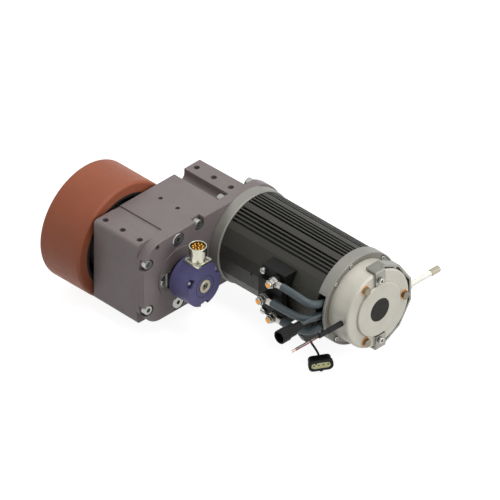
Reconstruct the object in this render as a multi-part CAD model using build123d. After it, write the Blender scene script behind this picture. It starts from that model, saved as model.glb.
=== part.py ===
# AGV drive wheel unit: parallel-shaft gearbox with a flange-mounted motor, holding brake,
# encoder on the wheel axis and a polyurethane drive wheel on the output flange.
# Frame: origin at the middle of the six mounting holes, on the top face. +X runs from the
# wheel axis to the motor axis, +Y is the axle direction towards the wheel, +Z is up.
import os
from math import acos, atan2, cos, degrees, pi, radians, sin, sqrt, tan

from build123d import *

# Shaft layout
AXIS_Z = -60.0
GEAR_MODULE = 2.0
MOTOR_PINION_TEETH = 17
MIDDLE_GEAR_TEETH = 45
MIDDLE_PINION_TEETH = 15
OUTPUT_GEAR_TEETH = 41
WHEEL_X = -33.75
MIDDLE_X = WHEEL_X + GEAR_MODULE * (OUTPUT_GEAR_TEETH + MIDDLE_PINION_TEETH) / 2
MOTOR_X = MIDDLE_X + GEAR_MODULE * (MIDDLE_GEAR_TEETH + MOTOR_PINION_TEETH) / 2

# Gears
TOOTH_ADDENDUM = 1.6
TOOTH_DEDENDUM = 2.3
TOOTH_BACKLASH = 0.3
PRESSURE_ANGLE = radians(20)
FIRST_GEAR_WIDTH = 18.0
SECOND_GEAR_WIDTH = 27.0
GEAR_AIR = 2.2
GEAR_WEB_THICKNESS = 9.0
GEAR_RIM_WALL = 4.0
GEAR_HUB_WALL = 7.0

# Gearbox housing casting
HOUSING_FRONT_Y = -38.0
HOUSING_BACK_Y = 39.3
HOUSING_WALL = 9.2
HOUSING_LEFT_X = -92.7
HOUSING_RIGHT_X = 97.5
HOUSING_DRAFT = 1.6
HOUSING_EDGE_RADIUS = 5.0
GROOVE_X = 58.75
GROOVE_WIDTH = 17.5
GROOVE_SCREW_AIR = 2.0
RELIEF_LEFT_X = -61.0
RELIEF_RIGHT_X = -45.0
RELIEF_FRONT_Y = -34.0
RELIEF_DEPTH = 1.8
NOSE_RADIUS = 26.5
NOSE_DEPTH = 24.0
BOSS_RADIUS = 46.0
BOSS_BACK_Y = 86.0
MOUNT_HOLE_X = 80.0
MOUNT_HOLE_PITCH_Y = 30.0
MOUNT_HOLE_DIAMETER = 8.0
MOUNT_HOLE_DEPTH = 15.0
SMALL_HOLE_X = 1.5
SMALL_HOLE_PITCH_Y = 30.0
SMALL_HOLE_DIAMETER = 6.0
SMALL_HOLE_DEPTH = 8.0

# Gearbox cover
COVER_FRONT_Y = -52.0
COVER_LEFT_X = -94.8
COVER_CORNER_RADIUS = 30.0
COVER_EDGE_RADIUS = 1.2
MOTOR_FLANGE_RADIUS = 66.0
MOTOR_PILOT_RADIUS = 35.0
ENCODER_BOSS_RADIUS = 35.5
ENCODER_BOSS_HEIGHT = 1.3
COVER_SCREW_LEFT_X = -85.4
COVER_SCREW_SPREAD_Z = 34.5
COVER_SCREW_MIDDLE_X = 3.4
COVER_SCREW_EDGE_Z = 8.5
COUNTERBORE_RADIUS = 7.7
COUNTERBORE_DEPTH = 9.0
VENT_HOLE_X = -70.75
VENT_HOLE_DROP = 6.2
VENT_HOLE_RADIUS = 3.4
VENT_HOLE_DEPTH = 7.0
OIL_PLUG_X = -34.0
OIL_PLUG_DROP = 12.5
OIL_PLUG_LOW_RISE = 11.0
OIL_PLUG_RADIUS = 9.2
OIL_PLUG_RING_RADIUS = 10.2
OIL_PLUG_LENGTH = 9.0
OIL_PLUG_SINK = 1.0
OIL_PLUG_SOCKET_ACROSS = 5.5
OIL_PLUG_SOCKET_DEPTH = 6.0
OIL_PLUG_EDGE = 1.1
OIL_WAY_DIAMETER = 5.0

# M8 cap screws
M8_RADIUS = 4.0
M8_HEAD_RADIUS = 6.5
M8_HEAD_HEIGHT = 8.0
M8_SOCKET_ACROSS = 6.0
M8_SOCKET_DEPTH = 4.0
M8_CLEARANCE = 0.4
COVER_SCREW_LENGTH = 16.0
FLANGE_SCREW_X = 25.0
FLANGE_SCREW_Z = 53.5
FLANGE_SCREW_LENGTH = 26.0

# Bearings: bore, outer diameter and width of each
OUTPUT_BEARING = (40.0, 80.0, 18.0)
MIDDLE_BACK_BEARING = (20.0, 47.0, 14.0)
MIDDLE_FRONT_BEARING = (17.0, 40.0, 11.0)
SPINDLE_BEARING = (12.0, 28.0, 8.0)
MOTOR_BEARING = (17.0, 40.0, 12.0)
OUTPUT_BEARING_Y = 30.0
OUTPUT_BEARING_PITCH = 30.0
BEARING_FIT = 0.02
BEARING_END_AIR = 0.3
SEAL_WIDTH = 7.0
SHOULDER_BORE_RADIUS = 36.5
MOTOR_SEAL_RADIUS = 15.0
MOTOR_SEAL_WIDTH = 5.0

# Drive wheel
TREAD_RADIUS = 80.0
TREAD_THICKNESS = 15.0
TREAD_EDGE_RADIUS = 4.0
WHEEL_FRONT_Y = 44.0
WHEEL_WIDTH = 69.0
RIM_THICKNESS = 5.0
OUTPUT_FLANGE_RADIUS = 50.0
OUTPUT_FLANGE_Y = 88.0
OUTPUT_FLANGE_THICKNESS = 10.0
HUB_WEB_THICKNESS = 12.0
HUB_BORE_RADIUS = 20.0
HUB_CORNER = 6.0
WHEEL_BOLT_COUNT = 6
WHEEL_BOLT_CIRCLE = 38.0
WHEEL_BOLT_LENGTH = 14.0
WHEEL_BOLT_SINK = 7.0
PILOT_LENGTH = 10.0

# Motor
SHIELD_STEP = 1.8
SHIELD_BACK_Y = -67.0
SHIELD_EDGE = 1.5
PILOT_DEPTH = 8.0
MOTOR_RADIUS = 61.7
MOTOR_WALL = 11.7
MOTOR_END_Y = -236.4
SLOT_WIDTH = 2.8
SLOT_DEPTH = 4.6
SLOT_PITCH = 4.75
SLOTS_IN_GROUP = 5
SLOT_GROUP_ANGLES = (-120, -90, -60, -30, 0, 30, 60, 90, 120)
FACET_ANGLES = (131.0, 139.7, 161.0, 176.0, 199.0, 220.3, 229.0)
REAR_RING_STEP = 1.6
REAR_RING_END_Y = -253.0
REAR_RIM_WIDTH = 2.0
REAR_FACE_SINK = 1.5
REAR_WEB_THICKNESS = 7.0
CUTOUT_START_ANGLE = 153.0
CUTOUT_END_ANGLE = 207.0
CUTOUT_END_Y = -249.5
CUTOUT_INNER_RADIUS = 30.0
REAR_SCREW_RADIUS = 2.5
REAR_SCREW_AIR = 0.2
REAR_SCREW_HEAD_RADIUS = 3.1
REAR_SCREW_HEAD = 1.6
REAR_SCREW_SOCKET_ACROSS = 3.4
REAR_SCREW_SOCKET = 1.2
REAR_SCREW_ANGLES = (45, 105, 135, 225, 285, 315)
REAR_SCREW_LENGTH = 22.0
STATOR_BORE_RADIUS = 30.5
STATOR_Y0 = -208.0
STATOR_Y1 = -92.0
WINDING_LENGTH = 14.0
WINDING_AIR = 5.5
STATOR_YOKE = 6.5
STATOR_SLOT_WIDTH = 4.0
ROTOR_AIR = 0.6
ROTOR_POLES = 8
ROTOR_SLOT_EDGE = 4.0
ROTOR_SLOT_THICKNESS = 3.0
ROTOR_SLOT_WIDTH = 14.0
MOTOR_SHAFT_RADIUS = 11.0
MOTOR_HUB_RADIUS = 26.0
STATOR_TOOTH_COUNT = 24

# Holding brake
BRAKE_STEP = 7.2
BRAKE_FACE_Y = -284.5
BRAKE_EDGE_RADIUS = 3.0
BRAKE_WALL = 4.0
BRAKE_BOSS_STEP = 17.2
BRAKE_BOSS_HEIGHT = 3.0
BRAKE_BOSS_FILLET = 1.4
BRAKE_HOLE_RADIUS = 16.2
BRAKE_CAP_SINK = 0.2
BRAKE_CAP_THICKNESS = 4.0
BRAKE_SCREW_EDGE = 9.5
BRAKE_SCREW_ANGLES = (0, 120, 240)
BRAKE_SCREW_RADIUS = 3.0
BRAKE_SCREW_ACROSS = 10.0
BRAKE_SCREW_HEAD = 4.0
BRAKE_WASHER_RADIUS = 6.2
BRAKE_WASHER_THICKNESS = 1.0
BRAKE_SCREW_LENGTH = 38.0
BRAKE_PLAY = 0.8
BRAKE_RELEASE_TRAVEL = 0.5
BRAKE_DISC_AIR = 2.0
BRAKE_DISC_THICKNESS = 6.0
ARMATURE_AIR = 1.0
ARMATURE_THICKNESS = 5.0
MAGNET_BORE_RADIUS = 18.0
COIL_INNER_RADIUS = 24.0
COIL_WALL = 4.0
COIL_DEPTH = 11.0
SPRING_EDGE = 13.5
SPRING_RADIUS = 3.0
SPRING_ANGLES = (30, 60, 150, 210, 300, 330)
RELEASE_SCREW_EDGE = 9.5
RELEASE_SCREW_RADIUS = 2.5
RELEASE_SCREW_HEAD_RADIUS = 4.1
RELEASE_SCREW_HEAD = 3.5
RELEASE_SCREW_ACROSS = 4.0
RELEASE_SCREW_SOCKET = 2.5
LEAD_HOLE_Y = -274.3

# Release lever, a bent steel strip round the brake
LEVER_THICKNESS = 3.0
LEVER_PIVOT_OFFSET = 6.75
LEVER_TAB_WIDTH = 16.5
LEVER_TAB_LENGTH = 17.8
LEVER_AIR = 1.5
LEVER_SHOULDER_OFFSET = 16.75
LEVER_SHOULDER_DROP = 1.0
LEVER_ELBOW_BACK = 14.75
LEVER_ELBOW_DROP = 8.5
LEVER_GRIP_AIR = 5.55
LEVER_GRIP_HALF_HEIGHT = 16.0
LEVER_STRAP_Y0 = -282.5
LEVER_STRAP_Y1 = -269.5
LEVER_SEAT = 0.1
LEVER_RIB_RADIUS = 0.8
HANDLE_Y = -276.0
HANDLE_RADIUS = 3.6
HANDLE_LENGTH = 39.7
HANDLE_NUT_ACROSS = 10.0
HANDLE_NUT_HEIGHT = 4.0
HANDLE_TIP_RADIUS = 4.5
HANDLE_TIP_LENGTH = 15.0

# Encoder on the wheel axis
ENCODER_RADIUS = 28.7
ENCODER_BACK_Y = -64.5
ENCODER_FRONT_Y = -98.0
ENCODER_EDGE_RADIUS = 1.0
ENCODER_FLANGE_RADIUS = 21.0
ENCODER_BORE_RADIUS = 9.2
ENCODER_GROOVE_RADIUS = 15.0
ENCODER_SLOT_ANGLES = (30, 150, 270)
ENCODER_SLOT_WIDTH = 13.6
ENCODER_SLOT_DEPTH = 5.0
ENCODER_SLOT_HEIGHT = 6.0
ENCODER_SLOT_RADIUS = 25.9
ENCODER_SCREW_RADIUS = 1.4
ENCODER_SCREW_LENGTH = 12.0
ENCODER_SCREW_HEAD_RADIUS = 2.3
ENCODER_SCREW_HEAD = 2.0
ENCODER_SCREW_ACROSS = 2.0
ENCODER_SCREW_SOCKET = 1.0
BRACKET_THICKNESS = 1.5
BRACKET_HALF_WIDTH = 24.25
BRACKET_HEIGHT = 21.5
BRACKET_END_RADIUS = 9.1
BRACKET_END_OFFSET = 26.3
ENCODER_FOOT_OFFSET = 32.5
ENCODER_FOOT_HEAD_RADIUS = 2.6
ENCODER_FOOT_HEAD = 2.2
ENCODER_FOOT_ACROSS = 2.5
ENCODER_FOOT_SOCKET = 1.2
ENCODER_FOOT_SCREW_LENGTH = 6.5
ENCODER_FOOT_RADIUS = 1.6
ENCODER_FOOT_DEPTH = 6.0
SPINDLE_RADIUS = 6.0
SPINDLE_END_Y = -94.5
ENCODER_RING_RADIUS = 8.75
ENCODER_RING_END_Y = -99.5
ENCODER_RING_LENGTH = 9.0
RING_BORE_RADIUS = 4.9
RING_SCREW_RADIUS = 2.5
RING_SCREW_LENGTH = 9.0
RING_SCREW_HEAD_RADIUS = 4.3
RING_SCREW_HEAD = 3.0
RING_SCREW_ACROSS = 4.0
RING_SCREW_SOCKET = 2.0
PAD_TOP_Z = -27.7
PAD_WIDTH = 23.0
PAD_BACK_Y = -72.0
CONNECTOR_Y = -86.0
CONNECTOR_FLANGE = 25.0
CONNECTOR_FLANGE_THICKNESS = 3.0
CONNECTOR_BARREL_RADIUS = 10.0
CONNECTOR_RIM_RADIUS = 11.5
CONNECTOR_TOP_Z = -4.0
CONNECTOR_RIM_HEIGHT = 6.5
CONNECTOR_SOCKET_RADIUS = 8.6
CONNECTOR_SOCKET_DEPTH = 13.0
CONNECTOR_SCREW_OFFSET = 9.6
CONNECTOR_SCREW_RADIUS = 1.2
CONNECTOR_SCREW_LENGTH = 7.0
CONNECTOR_SCREW_HEAD_RADIUS = 2.1
CONNECTOR_SCREW_HEAD = 1.2
CONNECTOR_HOLE_DEPTH = 5.0
CONNECTOR_PIN_RADIUS = 0.6
CONNECTOR_PIN_CIRCLES = (5.8, 2.6)
CONNECTOR_PIN_COUNTS = (9, 3)

# Terminal block on the left flank of the motor
TERMINAL_Y0 = -191.5
TERMINAL_Y1 = -150.5
TERMINAL_HALF_HEIGHT = 37.0
TERMINAL_MIDDLE_HALF_HEIGHT = 21.2
TERMINAL_FACE_X = 14.0
TERMINAL_MIDDLE_FACE_X = 7.7
TERMINAL_GAP_X = 17.0
TERMINAL_GAP_LENGTH = 12.0
TERMINAL_SCREW_Y = -155.5
TERMINAL_SCREW_OFFSET = 30.4
TERMINAL_SCREW_RADIUS = 2.2
TERMINAL_SCREW_HEAD_RADIUS = 4.2
TERMINAL_SCREW_HEAD = 4.5
TERMINAL_SCREW_HOLE_DEPTH = 4.0
TERMINAL_SCREW_TIP_AIR = 0.75
STUD_RADIUS = 4.0
STUD_HEAD_RADIUS = 4.6
INSULATOR_RADIUS = 7.0
INSULATOR_THICKNESS = 6.0
TERMINAL_WASHER_RADIUS = 6.8
TERMINAL_WASHER_THICKNESS = 1.2
LUG_THICKNESS = 2.4
LUG_EYE_RADIUS = 6.6
LUG_BARREL_RADIUS = 4.7
LUG_BARREL_LENGTH = 6.5
LUG_END_GAP = 0.15
TERMINAL_NUT_ACROSS = 11.0
TERMINAL_NUT_HEIGHT = 5.0
UPPER_STUD = (TERMINAL_FACE_X, -178.5, -33.5, -4.2)
LOWER_STUD = (TERMINAL_FACE_X, -178.5, -86.7, -4.2)
MIDDLE_STUD = (TERMINAL_MIDDLE_FACE_X, -168.1, -60.0, -11.3)

# Power cables, from the lugs into the cut-out of the rear shield
POWER_CABLE_RADIUS = 5.0
POWER_CABLE_ROUTES = (
    ((7.3, -193, -34), (7.1, -212, -34.2), (7, -232, -36), (13, -240.5, -40.5), (26.5, -243, -44.5),
     (40, -243.5, -46)),
    ((0, -182.5, -60), (0.3, -205, -60.2), (1.2, -229, -60), (8.9, -239.5, -60.8), (24.5, -241.5, -62.3),
     (38, -243, -62.6)),
    ((7, -193, -87), (7, -211, -87.2), (8, -230, -83), (12, -240.5, -80.5), (26.5, -243, -76.3),
     (40, -243.5, -76)),
)

# Brake lead with its two cores
SLEEVE_RADIUS = 3.75
SLEEVE_END_X = 6.0
BRAKE_LEAD_RADIUS = 3.25
CABLE_FIT = 0.4
BRAKE_LEAD_ROUTE = ((33.6, LEAD_HOLE_Y, -60), (19, -274.3, -59.9), (4.6, -274.2, -59.8), (-9.8, -274.4, -59.6))
CORE_RADIUS = 0.85
BARE_LENGTH = 6.5
BARE_RADIUS = 0.5
RED_CORE_ROUTE = ((-10.1, -274.4, -60.6), (-24, -274.7, -60.9), (-37.5, -274.6, -60.7), (-50, -274.4, -60.8))
BLACK_CORE_ROUTE = ((-10.1, -274.4, -58.7), (-24, -274.0, -58.3), (-37.5, -274.2, -58.3), (-50.8, -274.3, -58.0))

# Round plug on a short lead beside the cut-out
PLUG_Y = -239.5
PLUG_Z = -61.8
PLUG_LEFT_X = -44.5
PLUG_RIM_END_X = -31.7
PLUG_GRIP_END_X = -20.3
PLUG_RIGHT_X = -6.5
PLUG_RIM_RADIUS = 9.2
PLUG_GRIP_RADIUS = 7.9
PLUG_NECK_RADIUS = 6.3
PLUG_NECK_EDGE = 1.5
PLUG_SOCKET_RADIUS = 7.4
PLUG_SOCKET_DEPTH = 12.0
PLUG_LEAD_RADIUS = 2.25
PLUG_LEAD_ROUTE = ((-8.5, PLUG_Y, PLUG_Z), (0.2, -242.6, -58.6), (9.3, -246.3, -55.9), (16.4, -246.8, -56.2),
                   (23, -246.6, -56.6), (29.6, -246.4, -56.2))

# Sensor lead under the motor with its flat four-way connector
OUTLET_LEFT_X = 8.8
OUTLET_TOP_X = 25.5
OUTLET_BOTTOM_X = 16.1
OUTLET_TOP_Z = -78.4
OUTLET_SHOULDER_Z = -93.5
OUTLET_BOTTOM_Z = -105.7
OUTLET_Y0 = -226.0
OUTLET_Y1 = -218.0
SENSOR_CABLE_RADIUS = 1.4
SENSOR_CABLE_ROUTE = ((24.7, -221.9, -102.6), (25.2, -224.6, -110.5), (25.4, -233, -116.5), (24.6, -239.5, -121.5),
                      (22.7, -242.4, -125.5), (19.7, -246.6, -126))
SENSOR_MIDDLE = (17.9, -249.05, -126.0)
SENSOR_YAW = 54.5
SENSOR_ROLL = 3.8
SENSOR_DEPTH = 14.0
SENSOR_BEZEL_WIDTH = 31.7
SENSOR_BEZEL_HEIGHT = 16.0
SENSOR_BEZEL_LENGTH = 5.0
SENSOR_BEZEL_CORNER = 6.5
SENSOR_REAR_WIDTH = 29.0
SENSOR_REAR_HEIGHT = 13.5
SENSOR_REAR_CORNER = 5.0
SENSOR_POCKET_PLACES = (-8.7, -1.1, 5.8)
SENSOR_POCKET_WIDTH = 5.2
SENSOR_POCKET_LENGTH = 6.5
SENSOR_POCKET_DEPTH = 2.0
SENSOR_TAB_WIDTH = 3.6
SENSOR_TAB_LENGTH = 3.5
SENSOR_TAB_RISE = 1.5
INSERT_WIDTH = 24.4
INSERT_HEIGHT = 8.2
INSERT_DEPTH = 5.0
INSERT_SINK = 0.3
INSERT_FIT = 0.1
INSERT_NOTCH_X = -6.2
INSERT_NOTCH_WIDTH = 2.1
INSERT_NOTCH_DEPTH = 1.8
CONTACT_COUNT = 4
CONTACT_PITCH = 5.95
CONTACT_RISE = 0.6
CONTACT_RADIUS = 1.1
CONTACT_DEPTH = 4.0

# General clearances
SEAT = 0.3
RUNNING_FIT = 0.05

LOW = (Align.CENTER, Align.CENTER, Align.MIN)


# Helpers that place plain forms along the frame's axes
def rod_y(x, z, y0, y1, radius, bore=0.0):
    body = Cylinder(radius, y1 - y0, align=LOW)
    if bore:
        body -= Cylinder(bore, y1 - y0, align=LOW)
    return Pos(x, y0, z) * Rot(-90, 0, 0) * body


def rod_x(y, z, x0, x1, radius, bore=0.0):
    body = Cylinder(radius, x1 - x0, align=LOW)
    if bore:
        body -= Cylinder(bore, x1 - x0, align=LOW)
    return Pos(x0, y, z) * Rot(0, 90, 0) * body


def rod_z(x, y, z0, z1, radius, bore=0.0):
    body = Cylinder(radius, z1 - z0, align=LOW)
    if bore:
        body -= Cylinder(bore, z1 - z0, align=LOW)
    return Pos(x, y, z0) * body


def block(x0, x1, y0, y1, z0, z1):
    return Pos(x0, y0, z0) * Box(x1 - x0, y1 - y0, z1 - z0, align=(Align.MIN,) * 3)


def prism_y(outline, y0, y1):
    return extrude(Plane.XZ.offset(-y1) * outline, amount=y1 - y0)


def turned(x, z, profile):
    face = make_face(Polyline(*profile, close=True))
    return Pos(x, 0, z) * revolve(face, Axis.Y, 360)


def hexagon_y(x, z, y0, y1, across):
    return prism_y(Pos(x, z) * RegularPolygon(across / 2, 6, major_radius=False), y0, y1)


def ring_places(radius, angles):
    return [(radius * cos(radians(a)), radius * sin(radians(a))) for a in angles]


def cap_screw(x, z, seat_y, length, way, radius=M8_RADIUS, head_radius=M8_HEAD_RADIUS,
              head_height=M8_HEAD_HEIGHT, across=M8_SOCKET_ACROSS, socket=M8_SOCKET_DEPTH):
    # way is +1 where the shank points to +Y, and -1 where it points to -Y
    shank_end = seat_y + way * length
    head_end = seat_y - way * head_height
    socket_end = head_end + way * socket
    head = rod_y(x, z, min(seat_y, head_end), max(seat_y, head_end), head_radius)
    head = chamfer(head.edges().filter_by(GeomType.CIRCLE).sort_by(Axis.Y)[0 if way > 0 else -1], 0.6)
    head -= hexagon_y(x, z, min(head_end, socket_end), max(head_end, socket_end), across)
    return head + rod_y(x, z, min(seat_y, shank_end), max(seat_y, shank_end), radius)


def save(name, *solids):
    pieces = [s for piece in solids for s in piece.solids()]
    export_step(Compound(children=pieces) if len(pieces) > 1 else pieces[0], f"parts/{name}.step")


# Involute spur gear outline, with a tooth or a gap on the side that faces its partner
def gear_outline(teeth, start_angle):
    pitch = GEAR_MODULE * teeth / 2
    base = pitch * cos(PRESSURE_ANGLE)
    tip = pitch + TOOTH_ADDENDUM
    root = pitch - TOOTH_DEDENDUM
    half_tooth = pi / (2 * teeth) - TOOTH_BACKLASH / (2 * pitch)
    involute_at_pitch = tan(PRESSURE_ANGLE) - PRESSURE_ANGLE

    def half_angle(radius):
        slope = acos(min(1.0, base / radius))
        return half_tooth + involute_at_pitch - (tan(slope) - slope)

    low = max(root + 0.2, base)
    flank = [low + (tip - low) * step / 3 for step in range(4)]
    points = []
    for tooth in range(teeth):
        middle = start_angle + 2 * pi * tooth / teeth
        radii = [root] + flank
        angles = [half_angle(low)] + [half_angle(radius) for radius in flank]
        side = list(zip(radii, angles))
        points += [(r * cos(middle - a), r * sin(middle - a)) for r, a in side]
        points += [(r * cos(middle + a), r * sin(middle + a)) for r, a in reversed(side)]
    return make_face(Polyline(*points, close=True))


def spur_gear(x, teeth, start_angle, y0, y1, bore, web=0.0, hub=0.0):
    gear = prism_y(Pos(x, AXIS_Z) * gear_outline(teeth, start_angle), y0, y1)
    if web:
        rim = GEAR_MODULE * teeth / 2 - TOOTH_DEDENDUM - GEAR_RIM_WALL
        sink = (y1 - y0 - web) / 2
        gear -= rod_y(x, AXIS_Z, y0, y0 + sink, rim, hub)
        gear -= rod_y(x, AXIS_Z, y1 - sink, y1, rim, hub)
    return gear - rod_y(x, AXIS_Z, y0, y1, bore)


# Places that several pieces share
FIRST_GEAR_Y0 = HOUSING_FRONT_Y + GEAR_AIR
FIRST_GEAR_Y1 = FIRST_GEAR_Y0 + FIRST_GEAR_WIDTH
STEP_Y = FIRST_GEAR_Y1 + GEAR_AIR
SECOND_GEAR_Y0 = STEP_Y + GEAR_AIR
SECOND_GEAR_Y1 = SECOND_GEAR_Y0 + SECOND_GEAR_WIDTH
CAVITY_Y1 = SECOND_GEAR_Y1 + GEAR_AIR
OUTPUT_TIP = GEAR_MODULE * OUTPUT_GEAR_TEETH / 2 + TOOTH_ADDENDUM
MIDDLE_TIP = GEAR_MODULE * MIDDLE_GEAR_TEETH / 2 + TOOTH_ADDENDUM
MOTOR_PINION_TIP = GEAR_MODULE * MOTOR_PINION_TEETH / 2 + TOOTH_ADDENDUM
MIDDLE_BACK_Y0 = CAVITY_Y1
MIDDLE_BACK_Y1 = MIDDLE_BACK_Y0 + MIDDLE_BACK_BEARING[2]
SEAL_Y0 = BOSS_BACK_Y - SEAL_WIDTH
COVER_SEAT_Y = COVER_FRONT_Y + COUNTERBORE_DEPTH
HOUSING_BOTTOM_Z = AXIS_Z - MIDDLE_TIP - GEAR_AIR - HOUSING_WALL
MOTOR_BORE_RADIUS = MOTOR_RADIUS - MOTOR_WALL
SHIELD_RADIUS = MOTOR_RADIUS + SHIELD_STEP
REAR_RING_RADIUS = MOTOR_RADIUS + REAR_RING_STEP
BRAKE_RADIUS = MOTOR_RADIUS - BRAKE_STEP
REAR_SCREW_CIRCLE = BRAKE_RADIUS + REAR_SCREW_HEAD_RADIUS + REAR_SCREW_AIR
BRAKE_BOSS_RADIUS = BRAKE_RADIUS - BRAKE_BOSS_STEP
BRAKE_SCREW_CIRCLE = BRAKE_RADIUS - BRAKE_SCREW_EDGE
BRAKE_DISC_RADIUS = BRAKE_SCREW_CIRCLE - BRAKE_SCREW_RADIUS - BRAKE_DISC_AIR
ARMATURE_RADIUS = BRAKE_RADIUS - BRAKE_WALL - ARMATURE_AIR
SPRING_CIRCLE = BRAKE_RADIUS - SPRING_EDGE
COIL_OUTER_RADIUS = SPRING_CIRCLE - SPRING_RADIUS - COIL_WALL
RELEASE_SCREW_CIRCLE = BRAKE_RADIUS - RELEASE_SCREW_EDGE
LEVER_PIVOT_X = MOTOR_X - LEVER_PIVOT_OFFSET
LEVER_TAB_RIGHT_X = LEVER_PIVOT_X + LEVER_TAB_WIDTH
LEVER_TOP_RISE = BRAKE_RADIUS + LEVER_AIR + LEVER_THICKNESS
LEVER_GRIP_X = MOTOR_X + BRAKE_RADIUS + LEVER_GRIP_AIR
LEVER_OUTLINE = [
    (MOTOR_X + LEVER_SHOULDER_OFFSET, LEVER_TOP_RISE - LEVER_SHOULDER_DROP),
    (MOTOR_X + BRAKE_RADIUS - LEVER_ELBOW_BACK, BRAKE_RADIUS - LEVER_ELBOW_DROP),
    (LEVER_GRIP_X, LEVER_GRIP_HALF_HEIGHT),
]
HANDLE_END_X = LEVER_GRIP_X + HANDLE_LENGTH
HANDLE_TIP_END_X = HANDLE_END_X + HANDLE_TIP_LENGTH
PINION_SEAT_RADIUS = GEAR_MODULE * MIDDLE_PINION_TEETH / 2 - TOOTH_DEDENDUM - 0.7
BRAKE_BOSS_Y = BRAKE_FACE_Y - BRAKE_BOSS_HEIGHT
COVER_SCREW_PLACES = [
    (COVER_SCREW_LEFT_X, AXIS_Z + COVER_SCREW_SPREAD_Z),
    (COVER_SCREW_LEFT_X, AXIS_Z - COVER_SCREW_SPREAD_Z),
    (COVER_SCREW_MIDDLE_X, -COVER_SCREW_EDGE_Z),
    (COVER_SCREW_MIDDLE_X, HOUSING_BOTTOM_Z + COVER_SCREW_EDGE_Z),
]
FLANGE_SCREW_PLACES = [
    (MOTOR_X + side * FLANGE_SCREW_X, AXIS_Z + rise * FLANGE_SCREW_Z)
    for side in (-1, 1)
    for rise in (-1, 1)
]
PILOT_END_Y = COVER_FRONT_Y + PILOT_DEPTH
REAR_FACE_Y = REAR_RING_END_Y + REAR_FACE_SINK
DISC_Y1 = REAR_FACE_Y - BRAKE_PLAY
DISC_Y0 = DISC_Y1 - BRAKE_DISC_THICKNESS
ARMATURE_Y1 = DISC_Y0 - SEAT
ARMATURE_Y0 = ARMATURE_Y1 - ARMATURE_THICKNESS
MAGNET_Y1 = ARMATURE_Y0 - BRAKE_PLAY
MAGNET_Y0 = BRAKE_FACE_Y + 3.5
BRAKE_SCREW_SEAT_Y = BRAKE_FACE_Y - BRAKE_WASHER_THICKNESS
LEVER_TAB_Y = BRAKE_FACE_Y - LEVER_SEAT
RELEASE_SEAT_Y = LEVER_TAB_Y - LEVER_THICKNESS - BRAKE_RELEASE_TRAVEL
BOSS_FACE_Y = COVER_FRONT_Y - ENCODER_BOSS_HEIGHT
BRACKET_PLATE_Y1 = BOSS_FACE_Y - BRACKET_THICKNESS
ENCODER_FLANGE_BACK_Y = BRACKET_PLATE_Y1 - BRACKET_THICKNESS
ENCODER_FOOT_PLACES = [(WHEEL_X + side * ENCODER_FOOT_OFFSET, AXIS_Z) for side in (-1, 1)]
TERMINAL_SCREW_HOLE_X = MOTOR_X - MOTOR_BORE_RADIUS + TERMINAL_SCREW_HOLE_DEPTH
TERMINAL_SCREW_END_X = TERMINAL_SCREW_HOLE_X - TERMINAL_SCREW_TIP_AIR
TERMINAL_SCREW_PLACES = [
    (MOTOR_X - sqrt(MOTOR_RADIUS**2 - TERMINAL_SCREW_OFFSET**2), AXIS_Z + way * TERMINAL_SCREW_OFFSET)
    for way in (1, -1)
]
STUDS = (UPPER_STUD, MIDDLE_STUD, LOWER_STUD)
OIL_PLUG_PLACES = [-OIL_PLUG_DROP, HOUSING_BOTTOM_Z + OIL_PLUG_LOW_RISE]


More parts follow.
